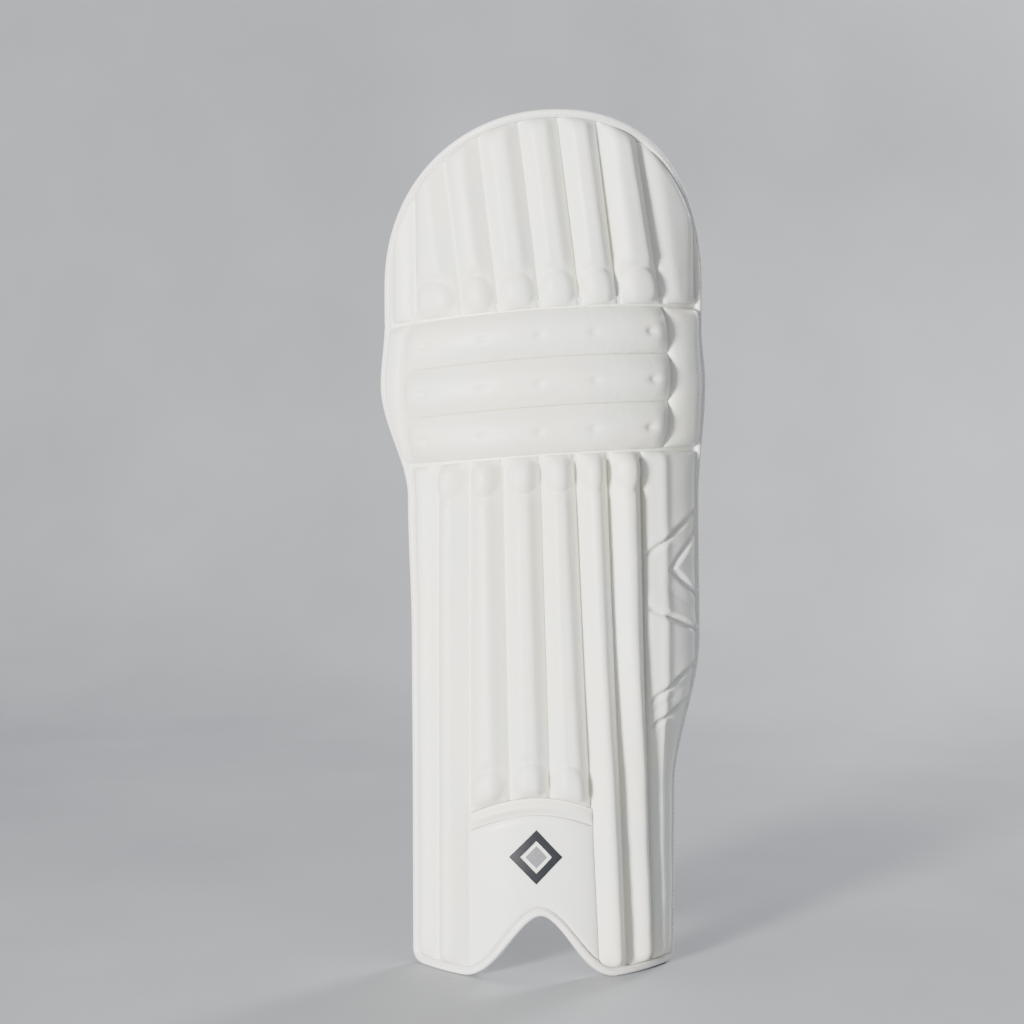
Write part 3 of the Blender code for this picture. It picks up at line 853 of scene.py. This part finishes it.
def build_shin_wing():
    """The side wing: a flat pad with a low ridge and slanting grooves, plump on one side of each."""
    left = shin_seam(6, HALF_SEAM)
    width = 0.055
    crown = 0.0056
    groove_depth, groove_width = 0.0048, 0.0022
    plump_height, plump_reach, plump_far_side = 0.0026, 0.009, 0.25
    ridge_height, ridge_share, ridge_width = 0.0022, 0.30, 0.10

    def depth(u, v, x, z):
        nearest, side_of = min(groove_offset(u, z, width, groove) for groove in WING_GROOVES)
        sewn = groove_depth * bell(nearest, groove_width)
        plump = plump_height * math.exp(-nearest / plump_reach)
        plump *= 1.0 if side_of > 0.0 else plump_far_side
        height = crown + ridge_height * bell(u - ridge_share, ridge_width) + plump - sewn
        height += waves(x, z, WING_WAVES, 31.0)
        rounded = puff(u, 3.2, 0.6) * both_ends(x, z, shin_bottom, shin_top)
        return SEAM + height * rounded + pucker(min(u, 1.0 - u) * width, z, 31.0)

    item = cover("shin_wing_cover", left, right_edge, shin_bottom, shin_top, PAD_BASE, depth,
                 wing_leather, (40, 300))
    attach(item, "shin", "white_pu", "shin_wing")


def build_instep():
    left = shin_seam(1, HALF_SEAM)
    right = shin_seam(4, -HALF_SEAM)
    panel_sink, panel_crown = 0.0012, 0.0026
    band_sink, band_crown = 0.0006, 0.0036

    def panel_depth(u, v, x, z):
        ends = round_end(z - shin_bottom(x), 0.006) * round_end(panel_top(x) - z, 0.008)
        height = panel_crown + waves(x, z, PANEL_WAVES, 41.0)
        return SEAM - panel_sink + height * puff(u, 8.0, 0.5) * ends

    def band_depth(u, v, x, z):
        height = band_crown + waves(x, z, BAND_WAVES, 43.0)
        return SEAM - band_sink + height * ease(2.0 * min(v, 1.0 - v)) * puff(u, 14.0, 0.5)

    item = cover("instep_panel_cover", left, right, shin_bottom, panel_top, PAD_BASE, panel_depth,
                 panel_leather, (60, 60))
    attach(item, "shin", "white_pu", "instep_panel")
    item = cover("instep_band_cover", left, right, shifted(panel_top, GAP), band_top, PAD_BASE,
                 band_depth, front_leather, (60, 16))
    attach(item, "shin", "white_pu", "instep_band")


BADGE_X = ARCH_X - 0.004
BADGE_Z = 0.104
BADGE_BACK = SEAM + 0.0005
BADGE_FRONT = SEAM + 0.0021


def diamond_outline(width, height, steps=10):
    corners = ((width, 0.0), (0.0, height), (-width, 0.0), (0.0, -height))
    outline = []
    for (x0, z0), (x1, z1) in zip(corners, corners[1:] + corners[:1]):
        outline += [(x0 + (x1 - x0) * k / steps, z0 + (z1 - z0) * k / steps) for k in range(steps)]
    return outline


def build_badge_ring(name, outer, inner, material):
    """A thin printed ring between two outlines, laid on the instep panel."""
    size = len(outer)
    bands = 4
    points = []
    for depth in (BADGE_BACK, BADGE_FRONT):
        for band in range(bands + 1):
            for (x0, z0), (x1, z1) in zip(inner, outer):
                x = BADGE_X + x0 + (x1 - x0) * band / bands
                z = BADGE_Z + z0 + (z1 - z0) * band / bands
                points.append(place(x, z, depth))
    per_layer = (bands + 1) * size
    faces = []
    for layer in (0, 1):
        for band in range(bands):
            for k in range(size):
                near = layer * per_layer + band * size + k
                beside = layer * per_layer + band * size + (k + 1) % size
                quad = [near, beside, beside + size, near + size]
                faces.append(quad if layer else list(reversed(quad)))
    for band, flip in ((0, False), (bands, True)):
        for k in range(size):
            near = band * size + k
            beside = band * size + (k + 1) % size
            quad = [near, beside, beside + per_layer, near + per_layer]
            faces.append(list(reversed(quad)) if flip else quad)
    attach(new_object(name, points, faces, material), "shin", "white_pu")


def build_badge():
    """A plain dark diamond printed on the instep panel."""
    build_badge_ring("instep_badge_outer", diamond_outline(0.021, 0.023),
                     diamond_outline(0.0125, 0.0137), black_ink)
    build_badge_ring("instep_badge_inner", diamond_outline(0.0085, 0.0093),
                     diamond_outline(0.00002, 0.00002), grey_ink)


def knee_left_seam(z):
    return -knee_seam(z)


def knee_right_seam(z):
    return knee_seam(z) - KNEE_SEAM_SHIFT


BOLSTER_HEIGHT = (UPPER_FOLD_Z - LOWER_FOLD_Z) / 3.0
BOLSTER_LENGTH = 2.0 * KNEE_SEAM_X - KNEE_SEAM_SHIFT
BOLSTER_CROWN = 0.0132
BOLSTER_END = 0.016
STUD_SHARES = [0.09 + 0.205 * k for k in range(5)]
STUD_LEVEL = 0.47
STUD_DEPTH = 0.0026
STUD_WIDTH = 0.0034
STUD_INNER_STRENGTH = 0.6
CREASE_DEPTH = 0.0005
CREASE_WIDTH = 0.0022
CREASE_REACH = 0.015


def stud_press(u, v):
    """How far the studs pull a bolster's face in, with a short crease beside each."""
    press = 0.0
    for share in STUD_SHARES:
        strength = 1.0 if share in (STUD_SHARES[0], STUD_SHARES[-1]) else STUD_INNER_STRENGTH
        dx = (u - share) * BOLSTER_LENGTH
        dz = (v - STUD_LEVEL) * BOLSTER_HEIGHT
        press += STUD_DEPTH * strength * bell(math.hypot(dx, dz), STUD_WIDTH)
        press += CREASE_DEPTH * bell(dz, CREASE_WIDTH) * bell(dx, CREASE_REACH)
    return press


def bolster_depth(seed):
    def depth(u, v, x, z):
        ends = (round_end(u * BOLSTER_LENGTH, BOLSTER_END)
                * round_end((1.0 - u) * BOLSTER_LENGTH, BOLSTER_END))
        swell = BOLSTER_CROWN * puff(v, 2.2, 0.72)
        uneven = (waves(x, z, BOLSTER_WAVES, seed) - stud_press(u, v)) * puff(v, 2.5, 1.0)
        return SEAM + (swell + uneven) * ends + pucker(min(v, 1.0 - v) * BOLSTER_HEIGHT, x, seed)
    return depth


def build_knee_front():
    build_shell("knee_shell", "knee_backing", "knee", knee_bottom, knee_top, 24)
    for index, label in enumerate(("lower", "middle", "upper")):
        seam = LOWER_FOLD_Z + BOLSTER_HEIGHT * index
        low = knee_bottom if index == 0 else (lambda x, s=seam: fold_line(s, x) + HALF_SEAM)
        high = knee_top if index == 2 else (
            lambda x, s=seam + BOLSTER_HEIGHT: fold_line(s, x) - HALF_SEAM)
        item = cover(f"knee_bolster_cover_{label}", knee_left_seam, knee_right_seam, low, high,
                     PAD_BASE + GAP, bolster_depth(50.0 + index), front_leather, (170, 34))
        attach(item, "knee", "white_pu", f"knee_bolster_{label}")
    for label, left, right, span, seed, material in (
            ("edge_roll", left_edge, knee_left_seam, (0.0, 1.0), 61.0, front_leather),
            ("side_roll", knee_right_seam, level(KNEE_WING_X), (0.0, 0.5), 62.0, front_leather),
            ("wing", level(KNEE_WING_X), right_edge, (0.5, 1.0), 63.0, wing_leather)):
        depth = broad_depth(left, right, knee_bottom, knee_top, span, seed)
        item = cover(f"knee_{label}_cover", left, right, knee_bottom, knee_top, PAD_BASE + GAP, depth,
                     material, (20, 60), True)
        attach(item, "knee", "white_pu", f"knee_{label}")


def build_top_front():
    build_shell("top_shell", "top_backing", "top_flap", top_bottom, top_top, 40)
    for index in range(6):
        left, right = top_seam(index, HALF_SEAM), top_seam(index + 1, -HALF_SEAM)
        depth = roll_depth(left, right, top_bottom, top_top, TOP_CROWN, ("low",), TOP_SINK,
                           70.0 + index)
        item = cover(f"top_roll_cover_{index + 1}", left, right, top_bottom, top_top, PAD_BASE, depth,
                     front_leather, (22, 90), True)
        attach(item, "top_flap", "white_pu", f"top_roll_{index + 1}")
    for label, left, right, crown, seed, material in (
            ("edge_roll", left_edge, top_seam(0, -HALF_SEAM), TOP_EDGE_CROWN, 81.0, front_leather),
            ("wing", top_seam(6, HALF_SEAM), right_edge, TOP_WING_CROWN, 82.0, wing_leather)):
        depth = roll_depth(left, right, top_bottom, top_top, crown, (), 0.0, seed)
        item = cover(f"top_{label}_cover", left, right, top_bottom, top_top, PAD_BASE, depth,
                     material, (18, 60), True)
        attach(item, "top_flap", "white_pu", f"top_{label}")


# Folds

STRIP_REACH = 0.007
STRIP_SAG = 0.0012
BRIDGE_INSET = 0.0003
BRIDGE_STEPS = 6


def fold_strip(name, fold, bodies, left, right, front, rear, material):
    """Cloth across a crease; the crease droops as the trough turns back."""
    low = lambda x: fold_line(fold, x) - STRIP_REACH
    high = lambda x: fold_line(fold, x) + STRIP_REACH
    depth = lambda u, v, x, z: (front - STRIP_SAG * puff(v, 2.0, 1.0)
                                + waves(x, z, STRIP_WAVES, fold))
    item = cover(name, left, right, low, high, rear, depth, material, (120, 12))
    centre = place(0.0, fold, 0.0)
    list(bodies)
    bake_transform(item)


def fold_bridge(name, fold, bodies, side):
    """A short length of edge binding across a crease."""
    edge = edge_of(side)
    middle = fold_line(fold, edge(fold))
    heights = [middle + STRIP_REACH * k / BRIDGE_STEPS for k in range(-BRIDGE_STEPS, BRIDGE_STEPS + 1)]
    centres, sides, fronts = edge_frames([(edge(z), z) for z in heights], rearward)
    profile = rounded_profile(0.0, BINDING_WIDTH - BRIDGE_INSET, BINDING_BACK + BRIDGE_INSET,
                              BINDING_FRONT - BRIDGE_INSET)
    item = sweep(name, centres, sides, fronts, profile, binding_leather)
    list(bodies)
    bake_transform(item)


def build_folds():
    for label, fold, bodies in (("lower", LOWER_FOLD_Z, ("shin", "knee")),
                                ("upper", UPPER_FOLD_Z, ("knee", "top_flap"))):
        fold_strip(f"{label}_fold_leather", fold, bodies, left_edge, right_edge, SEAM - 0.0006,
                   -0.0004, front_leather)
        for side, name in ((-1, "left"), (1, "right")):
            fold_bridge(f"{label}_fold_binding_{name}", fold, bodies, side)
    fold_strip("upper_fold_lining", UPPER_FOLD_Z, ("knee", "top_flap"), lining_left, lining_right,
               -0.0048, -0.0006, red_mesh)


# Bindings

HEM_CLIMB = 0.0285
HEM_CORNER = 0.0050
HEM_HINT_Z = 0.2
BINDING_LAP = 0.0004
STITCH_INSET = 0.0014


def rearward(x, z):
    return Vector((0.0, 1.0, 0.0))


def below(x, z):
    return Vector((x, abs(x), 2.0 * (z - HEM_HINT_Z)))


def around(x, z):
    return Vector((x, abs(x), z - DOME_BASE_Z))


def edge_frames(path, hint):
    """Centres, outward sides and fronts along places (x, z) on the middle surface."""
    centres = [place(x, z, 0.0) for x, z in path]
    sides = []
    fronts = []
    for i, (x, z) in enumerate(path):
        along = centres[min(len(path) - 1, i + 1)] - centres[max(0, i - 1)]
        front = surface_normal(x, z)
        side = front.cross(along.normalized()).normalized()
        if side.dot(hint(x, z)) < 0.0:
            side = -side
        sides.append(side)
        fronts.append(front)
    return centres, sides, fronts


def side_path(side, low, high, steps):
    edge = edge_of(side)
    start, stop = low(edge(low(0.0))), high(edge(high(0.0)))
    heights = [start + (stop - start) * k / steps for k in range(steps + 1)]
    return [(edge(z), z) for z in heights]


def hem_corner(side, steps=6):
    """Places down one edge and round its bottom corner, ending on the hem."""
    edge = edge_of(side)
    turn_z = BINDING_WIDTH + HEM_CORNER
    path = [(edge(z), z) for z in (HEM_CLIMB, 0.5 * (HEM_CLIMB + turn_z))]
    for k in range(steps + 1):
        angle = 0.5 * math.pi * k / steps
        inset = HEM_CORNER * (1.0 - math.cos(angle))
        path.append((edge(0.0) - side * inset, turn_z - HEM_CORNER * math.sin(angle)))
    return path


def hem_path(steps=150):
    inset = 1.2 * HEM_CORNER
    low, high = left_edge(0.0) + inset, right_edge(0.0) - inset
    path = []
    for k in range(steps + 1):
        x = low + (high - low) * (0.5 - 0.5 * math.cos(math.pi * k / steps))
        path.append((x, arch_z(x) + BINDING_WIDTH))
    return hem_corner(-1) + path + hem_corner(1)[::-1]


def dome_path(steps=150, climb_steps=8):
    path = []
    for k in range(steps + 1):
        reach = -math.cos(math.pi * k / steps)
        x = reach * half_width(reach, DOME_BASE_Z)
        path.append((x, dome_z(x)))
    for edge in (left_edge(HEIGHT), right_edge(HEIGHT)):
        foot = top_bottom(edge)
        climb = [(edge, foot + (DOME_BASE_Z - foot) * k / climb_steps) for k in range(climb_steps)]
        path = climb + path if edge < 0.0 else path + climb[::-1]
    return path


def build_bindings():
    strips = [("shin_hem_binding", "shin_hem", "shin", hem_path(), below),
              ("top_edge_binding", "top_binding", "top_flap", dome_path(), around)]
    for side, label in ((-1, "left"), (1, "right")):
        strips.append((f"shin_edge_binding_{label}", f"shin_binding_{label}", "shin",
                       side_path(side, level(HEM_CLIMB), shin_top, 90), rearward))
        strips.append((f"knee_edge_binding_{label}", f"knee_binding_{label}", "knee",
                       side_path(side, knee_bottom, knee_top, 36), rearward))
    profile = rounded_profile(-BINDING_LAP, BINDING_WIDTH, BINDING_BACK, BINDING_FRONT)
    for name, node, body, path, hint in strips:
        centres, sides, fronts = edge_frames(path, hint)
        item = sweep(name, centres, sides, fronts, profile, binding_leather)
        attach(item, body, "ivory_binding", node)
        for face, turn, depth in (("front", 1.0, BINDING_FRONT), ("rear", -1.0, BINDING_BACK)):
            outward = [front * turn for front in fronts]
            spots = [c + s * STITCH_INSET + f * depth for c, s, f in zip(centres, sides, fronts)]
            stitches(f"{name}_{face}_stitches", spots, outward, 0.00035, thread, body, "ivory_binding")


# Leg side

CUSHION_SPANS = ((0.042, 0.157), (0.185, 0.346), (0.349, 0.424))
CUSHION_SHARE = 0.90
CUSHION_INNER_X = 0.030
CUSHION_RIM = -0.006
CUSHION_CROWN = -0.0245
CENTRE_LINING_X = 0.029
LINING_DEPTH = -0.0032


def cushion_depth(seed):
    """Rearward crown of a leg-side cushion, as a negative depth."""
    def depth(u, v, x, z):
        crown = CUSHION_CROWN - CUSHION_RIM + waves(x, z, CUSHION_WAVES, seed)
        return CUSHION_RIM + crown * puff(u, 2.3, 0.62) * puff(v, 3.6, 0.60)
    return depth


def build_cushions():
    for side, label in ((-1, "left"), (1, "right")):
        outer = lambda z, s=side: s * CUSHION_SHARE * half_width(s, z)
        inner = level(side * CUSHION_INNER_X)
        left, right = (outer, inner) if side < 0 else (inner, outer)
        for index, (low, high) in enumerate(CUSHION_SPANS):
            depth = cushion_depth(90.0 + 3 * side + index)
            item = cover(f"calf_cushion_cover_{label}_{index + 1}", left, right, level(low),
                         level(high), LINING_TOP, depth, cream_mesh, (44, 70))
            attach(item, "shin", "cream_mesh", f"calf_cushion_{label}_{index + 1}")


def build_patches():
    """Loop pile patches that the hook tabs close on."""
    for name, body, left, right, low, high, rear, flat, grid, seed in (
            ("knee_loop_patch", "knee", 0.080, 0.110, 0.4500, 0.4880, -0.0122, -0.0100,
             (24, 24), 111.0),
            ("ankle_loop_patch", "shin", 0.072, 0.096, 0.1595, 0.1825, -0.0027, LINING_TOP,
             (24, 20), 112.0)):
        pile = lambda u, v, x, z: rear + waves(x, z, PILE_WAVES, seed)
        item = cover(f"{name}_pile", level(left), level(right), level(low), level(high), flat, pile,
                     loop_pile, grid)
        attach(item, body, "loop_pile", name)


def red_top(x):
    """Upper edge of the red lining, peaked at the middle."""
    return max(0.617 - 0.48 * abs(x), top_bottom(x) + 0.008)


def build_linings():
    def flat(u, v, x, z):
        return LINING_DEPTH + waves(x, z, LINING_WAVES, 101.0)

    def cup(u, v, x, z):
        rise = 0.0042 + waves(x, z, CUP_WAVES, 103.0)
        return -0.005 - rise * puff(u, 6.0, 0.5) * puff(v, 6.0, 0.5)

    def flap(u, v, x, z):
        return -0.0038 - 0.0024 * puff(u, 6.0, 0.5) * puff(v, 4.0, 0.5)

    def padded(u, v, x, z):
        rise = 0.0018 + waves(x, z, INNER_WAVES, 105.0)
        return -0.0026 - rise * puff(u, 10.0, 0.5) * puff(v, 10.0, 0.5)

    item = cover("shin_centre_lining_cloth", level(-CENTRE_LINING_X), level(CENTRE_LINING_X),
                 shifted(shin_bottom, 0.002), shin_top, LINING_TOP, flat, pale_lining, (20, 110))
    attach(item, "shin", "pale_lining", "shin_centre_lining")
    item = cover("knee_cup_lining_cloth", lining_left, lining_right, shifted(knee_bottom, 0.001),
                 shifted(knee_top, -0.0004), LINING_TOP, cup, red_mesh, (90, 50))
    attach(item, "knee", "red_mesh", "knee_cup_lining")
    item = cover("knee_lining_flap_cloth", lining_left, lining_right, shifted(top_bottom, 0.0004),
                 red_top, LINING_TOP, flap, red_mesh, (90, 30))
    attach(item, "top_flap", "red_mesh", "knee_lining_flap")
    for node, left, right, material, slot in (
            ("printed_panel", lambda z: -print_half(z), print_half, printed, "pink_print"),
            ("top_inner_panel_left", lining_left, lambda z: -print_half(z) - GAP, inner_leather,
             "white_pu"),
            ("top_inner_panel_right", lambda z: print_half(z) + GAP, lining_right, inner_leather,
             "white_pu")):
        item = cover(f"{node}_cloth", left, right, shifted(red_top, 0.0012), shifted(top_top, -0.003),
                     LINING_TOP, padded, material, (48, 60))
        attach(item, "top_flap", slot, node)


# Straps

KNEE_STRAP = {"root": -0.127, "end": 0.0985, "tip": 0.1225, "low": 0.4535, "high": 0.4845}
ANKLE_STRAP = {"root": -0.102, "end": 0.0610, "tip": 0.0990, "low": 0.132, "high": 0.184}
CALF_STRAP = {"root": -0.102, "end": 0.064, "slant": 0.034, "low": 0.291, "high": 0.346}
ELASTIC = {"root": 0.124, "end": 0.020, "low": 0.2925, "high": 0.3445}
CALF_LIFT = 0.0026
WEBBING_THICKNESS = 0.003
CALF_THICKNESS = 0.0036
ELASTIC_THICKNESS = 0.002


def strap_y(x):
    return STRAP_Y + STRAP_BOW * (1.0 - (x / STRAP_HALF_SPAN) ** 2)


def strap(name, band, lift, thickness, material):
    """A bowed strap with softly rounded edges; slant carries its end further at the top."""
    start, end, slant = band["root"], band["end"], band.get("slant", 0.0)
    bottom, width = band["low"], band["high"] - band["low"]
    seed = lift * 1000.0 + bottom * 10.0

    def spot_at(u, v):
        x = start + (end + slant * v - start) * u
        z = bottom + width * v
        rim = round_end(min(v, 1.0 - v) * width + 0.0004, 0.0014)
        middle = strap_y(x) + lift + thickness / 2.0 + waves(x, z, STRAP_WAVES, seed)
        reach = Vector((0.0, thickness / 2.0 * rim, 0.0))
        return Vector((x, middle, z)) - reach, Vector((x, middle, z)) + reach, (x, z)

    return slab(name, 90, 14, spot_at, material)


def hook_tab(name, band, thickness, arcs):
    """A moulded hook tab with a round tip, ringed by shallow grooves."""
    start, end = band["end"] + GAP, band["tip"]
    radius = 0.5 * (band["high"] - band["low"])
    middle = 0.5 * (band["high"] + band["low"])
    reach = min(radius, 0.7 * (end - start))
    margin, rim_radius, slope = 0.0003, 0.0016, 0.8
    crown, groove_depth, groove_width = 0.0006, 0.0005, 0.0006

    def spot_at(u, v):
        across = 2.0 * v - 1.0
        tip = end - reach + reach * math.sqrt(max(0.0, 1.0 - across * across))
        x = start + (tip - start) * u
        z = middle + radius * across
        inset = min((tip - x) * slope, (1.0 - abs(across)) * radius) + margin
        rim = round_end(inset, rim_radius)
        groove = sum(groove_depth * bell(inset - at, groove_width) for at in arcs)
        base = strap_y(x)
        front = base + thickness * 0.5 * (1.0 - rim)
        rear = base + thickness * (0.5 + 0.5 * rim) + crown * rim - groove
        return Vector((x, front, z)), Vector((x, rear, z)), (x, z)

    return slab(name, 60, 40, spot_at, tab_leather)


def stripes_at(band, *spans):
    return tuple((band["low"] + low, band["low"] + high) for low, high in spans)


def build_straps():
    knee_cloth = woven_material("knee_webbing", (0.86, 0.79, 0.60),
                                stripes_at(KNEE_STRAP, (0.0070, 0.0122), (0.0186, 0.0238)), BLACK)
    ankle_cloth = woven_material("ankle_webbing", (0.86, 0.80, 0.63),
                                 stripes_at(ANKLE_STRAP, (0.0100, 0.0205), (0.0310, 0.0415)), BLACK)
    elastic_cloth = woven_material("striped_elastic", (0.86, 0.86, 0.84),
                                   stripes_at(ELASTIC, (0.0105, 0.0210), (0.0320, 0.0425)),
                                   (0.52, 0.52, 0.53), 0.0016)
    calf_cloth = woven_material("calf_strap_cloth", (0.87, 0.80, 0.62), (), BLACK, 0.0014)
    for band, name, node, slot, lift, thickness, cloth in (
            (KNEE_STRAP, "knee_strap_web", "knee_strap", "cream_webbing", 0.0, WEBBING_THICKNESS,
             knee_cloth),
            (ANKLE_STRAP, "ankle_strap_web", "ankle_strap", "cream_webbing", 0.0, WEBBING_THICKNESS,
             ankle_cloth),
            (ELASTIC, "calf_elastic_web", "calf_elastic", "striped_elastic", 0.0, ELASTIC_THICKNESS,
             elastic_cloth),
            (CALF_STRAP, "calf_strap_pad", "calf_strap", "cream_webbing", CALF_LIFT, CALF_THICKNESS,
             calf_cloth)):
        attach(strap(name, band, lift, thickness, cloth), node, slot, node)
    for band, node, arcs in ((KNEE_STRAP, "knee_strap_tab", (0.0030,)),
                             (ANKLE_STRAP, "ankle_strap_tab", (0.0030, 0.0085, 0.0120, 0.0155))):
        attach(hook_tab(f"{node}_hook", band, WEBBING_THICKNESS, arcs), node, "white_pu", node)


def build_slanted_line():
    """The printed line that runs beside the calf strap's slanted end."""
    low, height = CALF_STRAP["low"], CALF_STRAP["high"] - CALF_STRAP["low"]
    inset, width, margin = 0.012, 0.0026, 0.008

    def spot_at(u, v):
        z = low + margin + (height - 2.0 * margin) * v
        x = CALF_STRAP["end"] + CALF_STRAP["slant"] * (z - low) / height - inset - width * u
        y = strap_y(x) + CALF_LIFT + CALF_THICKNESS
        return Vector((x, y - 0.0006, z)), Vector((x, y + 0.0005, z)), (x, z)

    attach(slab("calf_strap_slanted_line", 4, 40, spot_at, pink_line), "calf_strap", "cream_webbing")


def build_strap_stitches():
    steps, root_margin, end_margin, edge_margin = 60, 0.004, 0.003, 0.0024
    for band, name, body, lift in ((KNEE_STRAP, "knee_strap_web", "knee_strap", 0.0031),
                                   (ANKLE_STRAP, "ankle_strap_web", "ankle_strap", 0.0031),
                                   (CALF_STRAP, "calf_strap_pad", "calf_strap", 0.0062)):
        start = band["root"] + root_margin
        end = band["end"] - end_margin
        for index, z in enumerate((band["low"] + edge_margin, band["high"] - edge_margin)):
            places = [start + (end - start) * k / steps for k in range(steps + 1)]
            spots = [Vector((x, strap_y(x) + lift, z)) for x in places]
            outward = [Vector((0.0, 1.0, 0.0))] * len(spots)
            stitches(f"{name}_stitches_{index + 1}", spots, outward, 0.0003, thread, body,
                     "cream_webbing")


def colour_canes():
    for index in range(6):
        core = frame["nodes"][f"shin_cane_{index + 1}"]
        core.data.materials.clear()
        core.data.materials.append(cane)


# Studio

def build_stage():
    """A pale floor that curves up into a backdrop."""
    front, back, radius, wall, width = 9.0, 2.2, 0.9, 6.0, 12.0
    drop, steps = 0.0005, 16
    profile = [(-front, 0.0)]
    for k in range(steps + 1):
        angle = math.pi / 2.0 * k / steps
        profile.append((back - radius + radius * math.sin(angle), radius - radius * math.cos(angle)))
    profile.append((back, wall))
    points = []
    for y, z in profile:
        points += [(-width, y, z - drop), (width, y, z - drop)]
    faces = [[2 * k, 2 * k + 1, 2 * k + 3, 2 * k + 2] for k in range(len(profile) - 1)]
    mesh = bpy.data.meshes.new("studio_floor")
    mesh.from_pydata(points, [], faces)
    mesh.shade_smooth()
    floor = bpy.data.objects.new("studio_floor", mesh)
    bpy.context.scene.collection.objects.link(floor)
    material, tree, shader = start_material("studio_paper", 0.75, specular=0.2)
    coords = object_coords(tree)
    paint(tree, shader, ramp(tree, noise_factor(tree, coords, 3.0), 0.35, 0.7, (0.36, 0.37, 0.395),
                             (0.41, 0.42, 0.445)))
    mesh.materials.append(material)


# Name, place, size, power and colour of each lamp
LAMPS = (
    ("key_softbox", (-1.70, -2.45, 0.55), 0.55, 275.0, (1.0, 0.98, 0.95)),
    ("fill_softbox", (2.1, -1.9, 1.3), 1.8, 8.0, (0.95, 0.97, 1.0)),
    ("rear_softbox", (1.5, 2.1, 1.7), 1.2, 120.0, (1.0, 1.0, 1.0)),
    ("top_softbox", (0.2, 0.6, 2.8), 1.4, 9.0, (1.0, 1.0, 1.0)),
)
LAMP_AIM = Vector((0.0, 0.0, 0.4))


def build_lights():
    world = bpy.data.worlds.new("studio_air")
    world.use_nodes = True
    background = world.node_tree.nodes["Background"]
    background.inputs["Color"].default_value = (0.80, 0.84, 0.92, 1.0)
    background.inputs["Strength"].default_value = 0.29
    bpy.context.scene.world = world
    for name, location, size, power, colour in LAMPS:
        light = bpy.data.lights.new(name, "AREA")
        light.shape = "DISK"
        light.size = size
        light.energy = power
        light.color = colour
        item = bpy.data.objects.new(name, light)
        item.location = location
        item.rotation_euler = (LAMP_AIM - Vector(location)).to_track_quat("-Z", "Y").to_euler()
        bpy.context.scene.collection.objects.link(item)


def build_camera():
    """Stands low and almost square to the strike face."""
    distance, height, turn = 1.91, 0.50, math.radians(-2.2)
    target = Vector((-0.0273, 0.0, 0.3885))
    location = Vector((distance * math.sin(turn), -distance * math.cos(turn), height))
    camera = bpy.data.cameras.new("photo_camera")
    camera.sensor_width = 36.0
    camera.lens = 80.0
    item = bpy.data.objects.new("photo_camera", camera)
    item.location = location
    item.rotation_euler = (target - location).to_track_quat("-Z", "Y").to_euler()
    bpy.context.scene.collection.objects.link(item)
    bpy.context.scene.camera = item


build_shin_front()
build_shin_wing()
build_instep()
build_badge()
build_knee_front()
build_top_front()
build_folds()
build_bindings()
build_cushions()
build_linings()
build_patches()
build_straps()
build_slanted_line()
build_strap_stitches()
colour_canes()
build_stage()
build_lights()
build_camera()
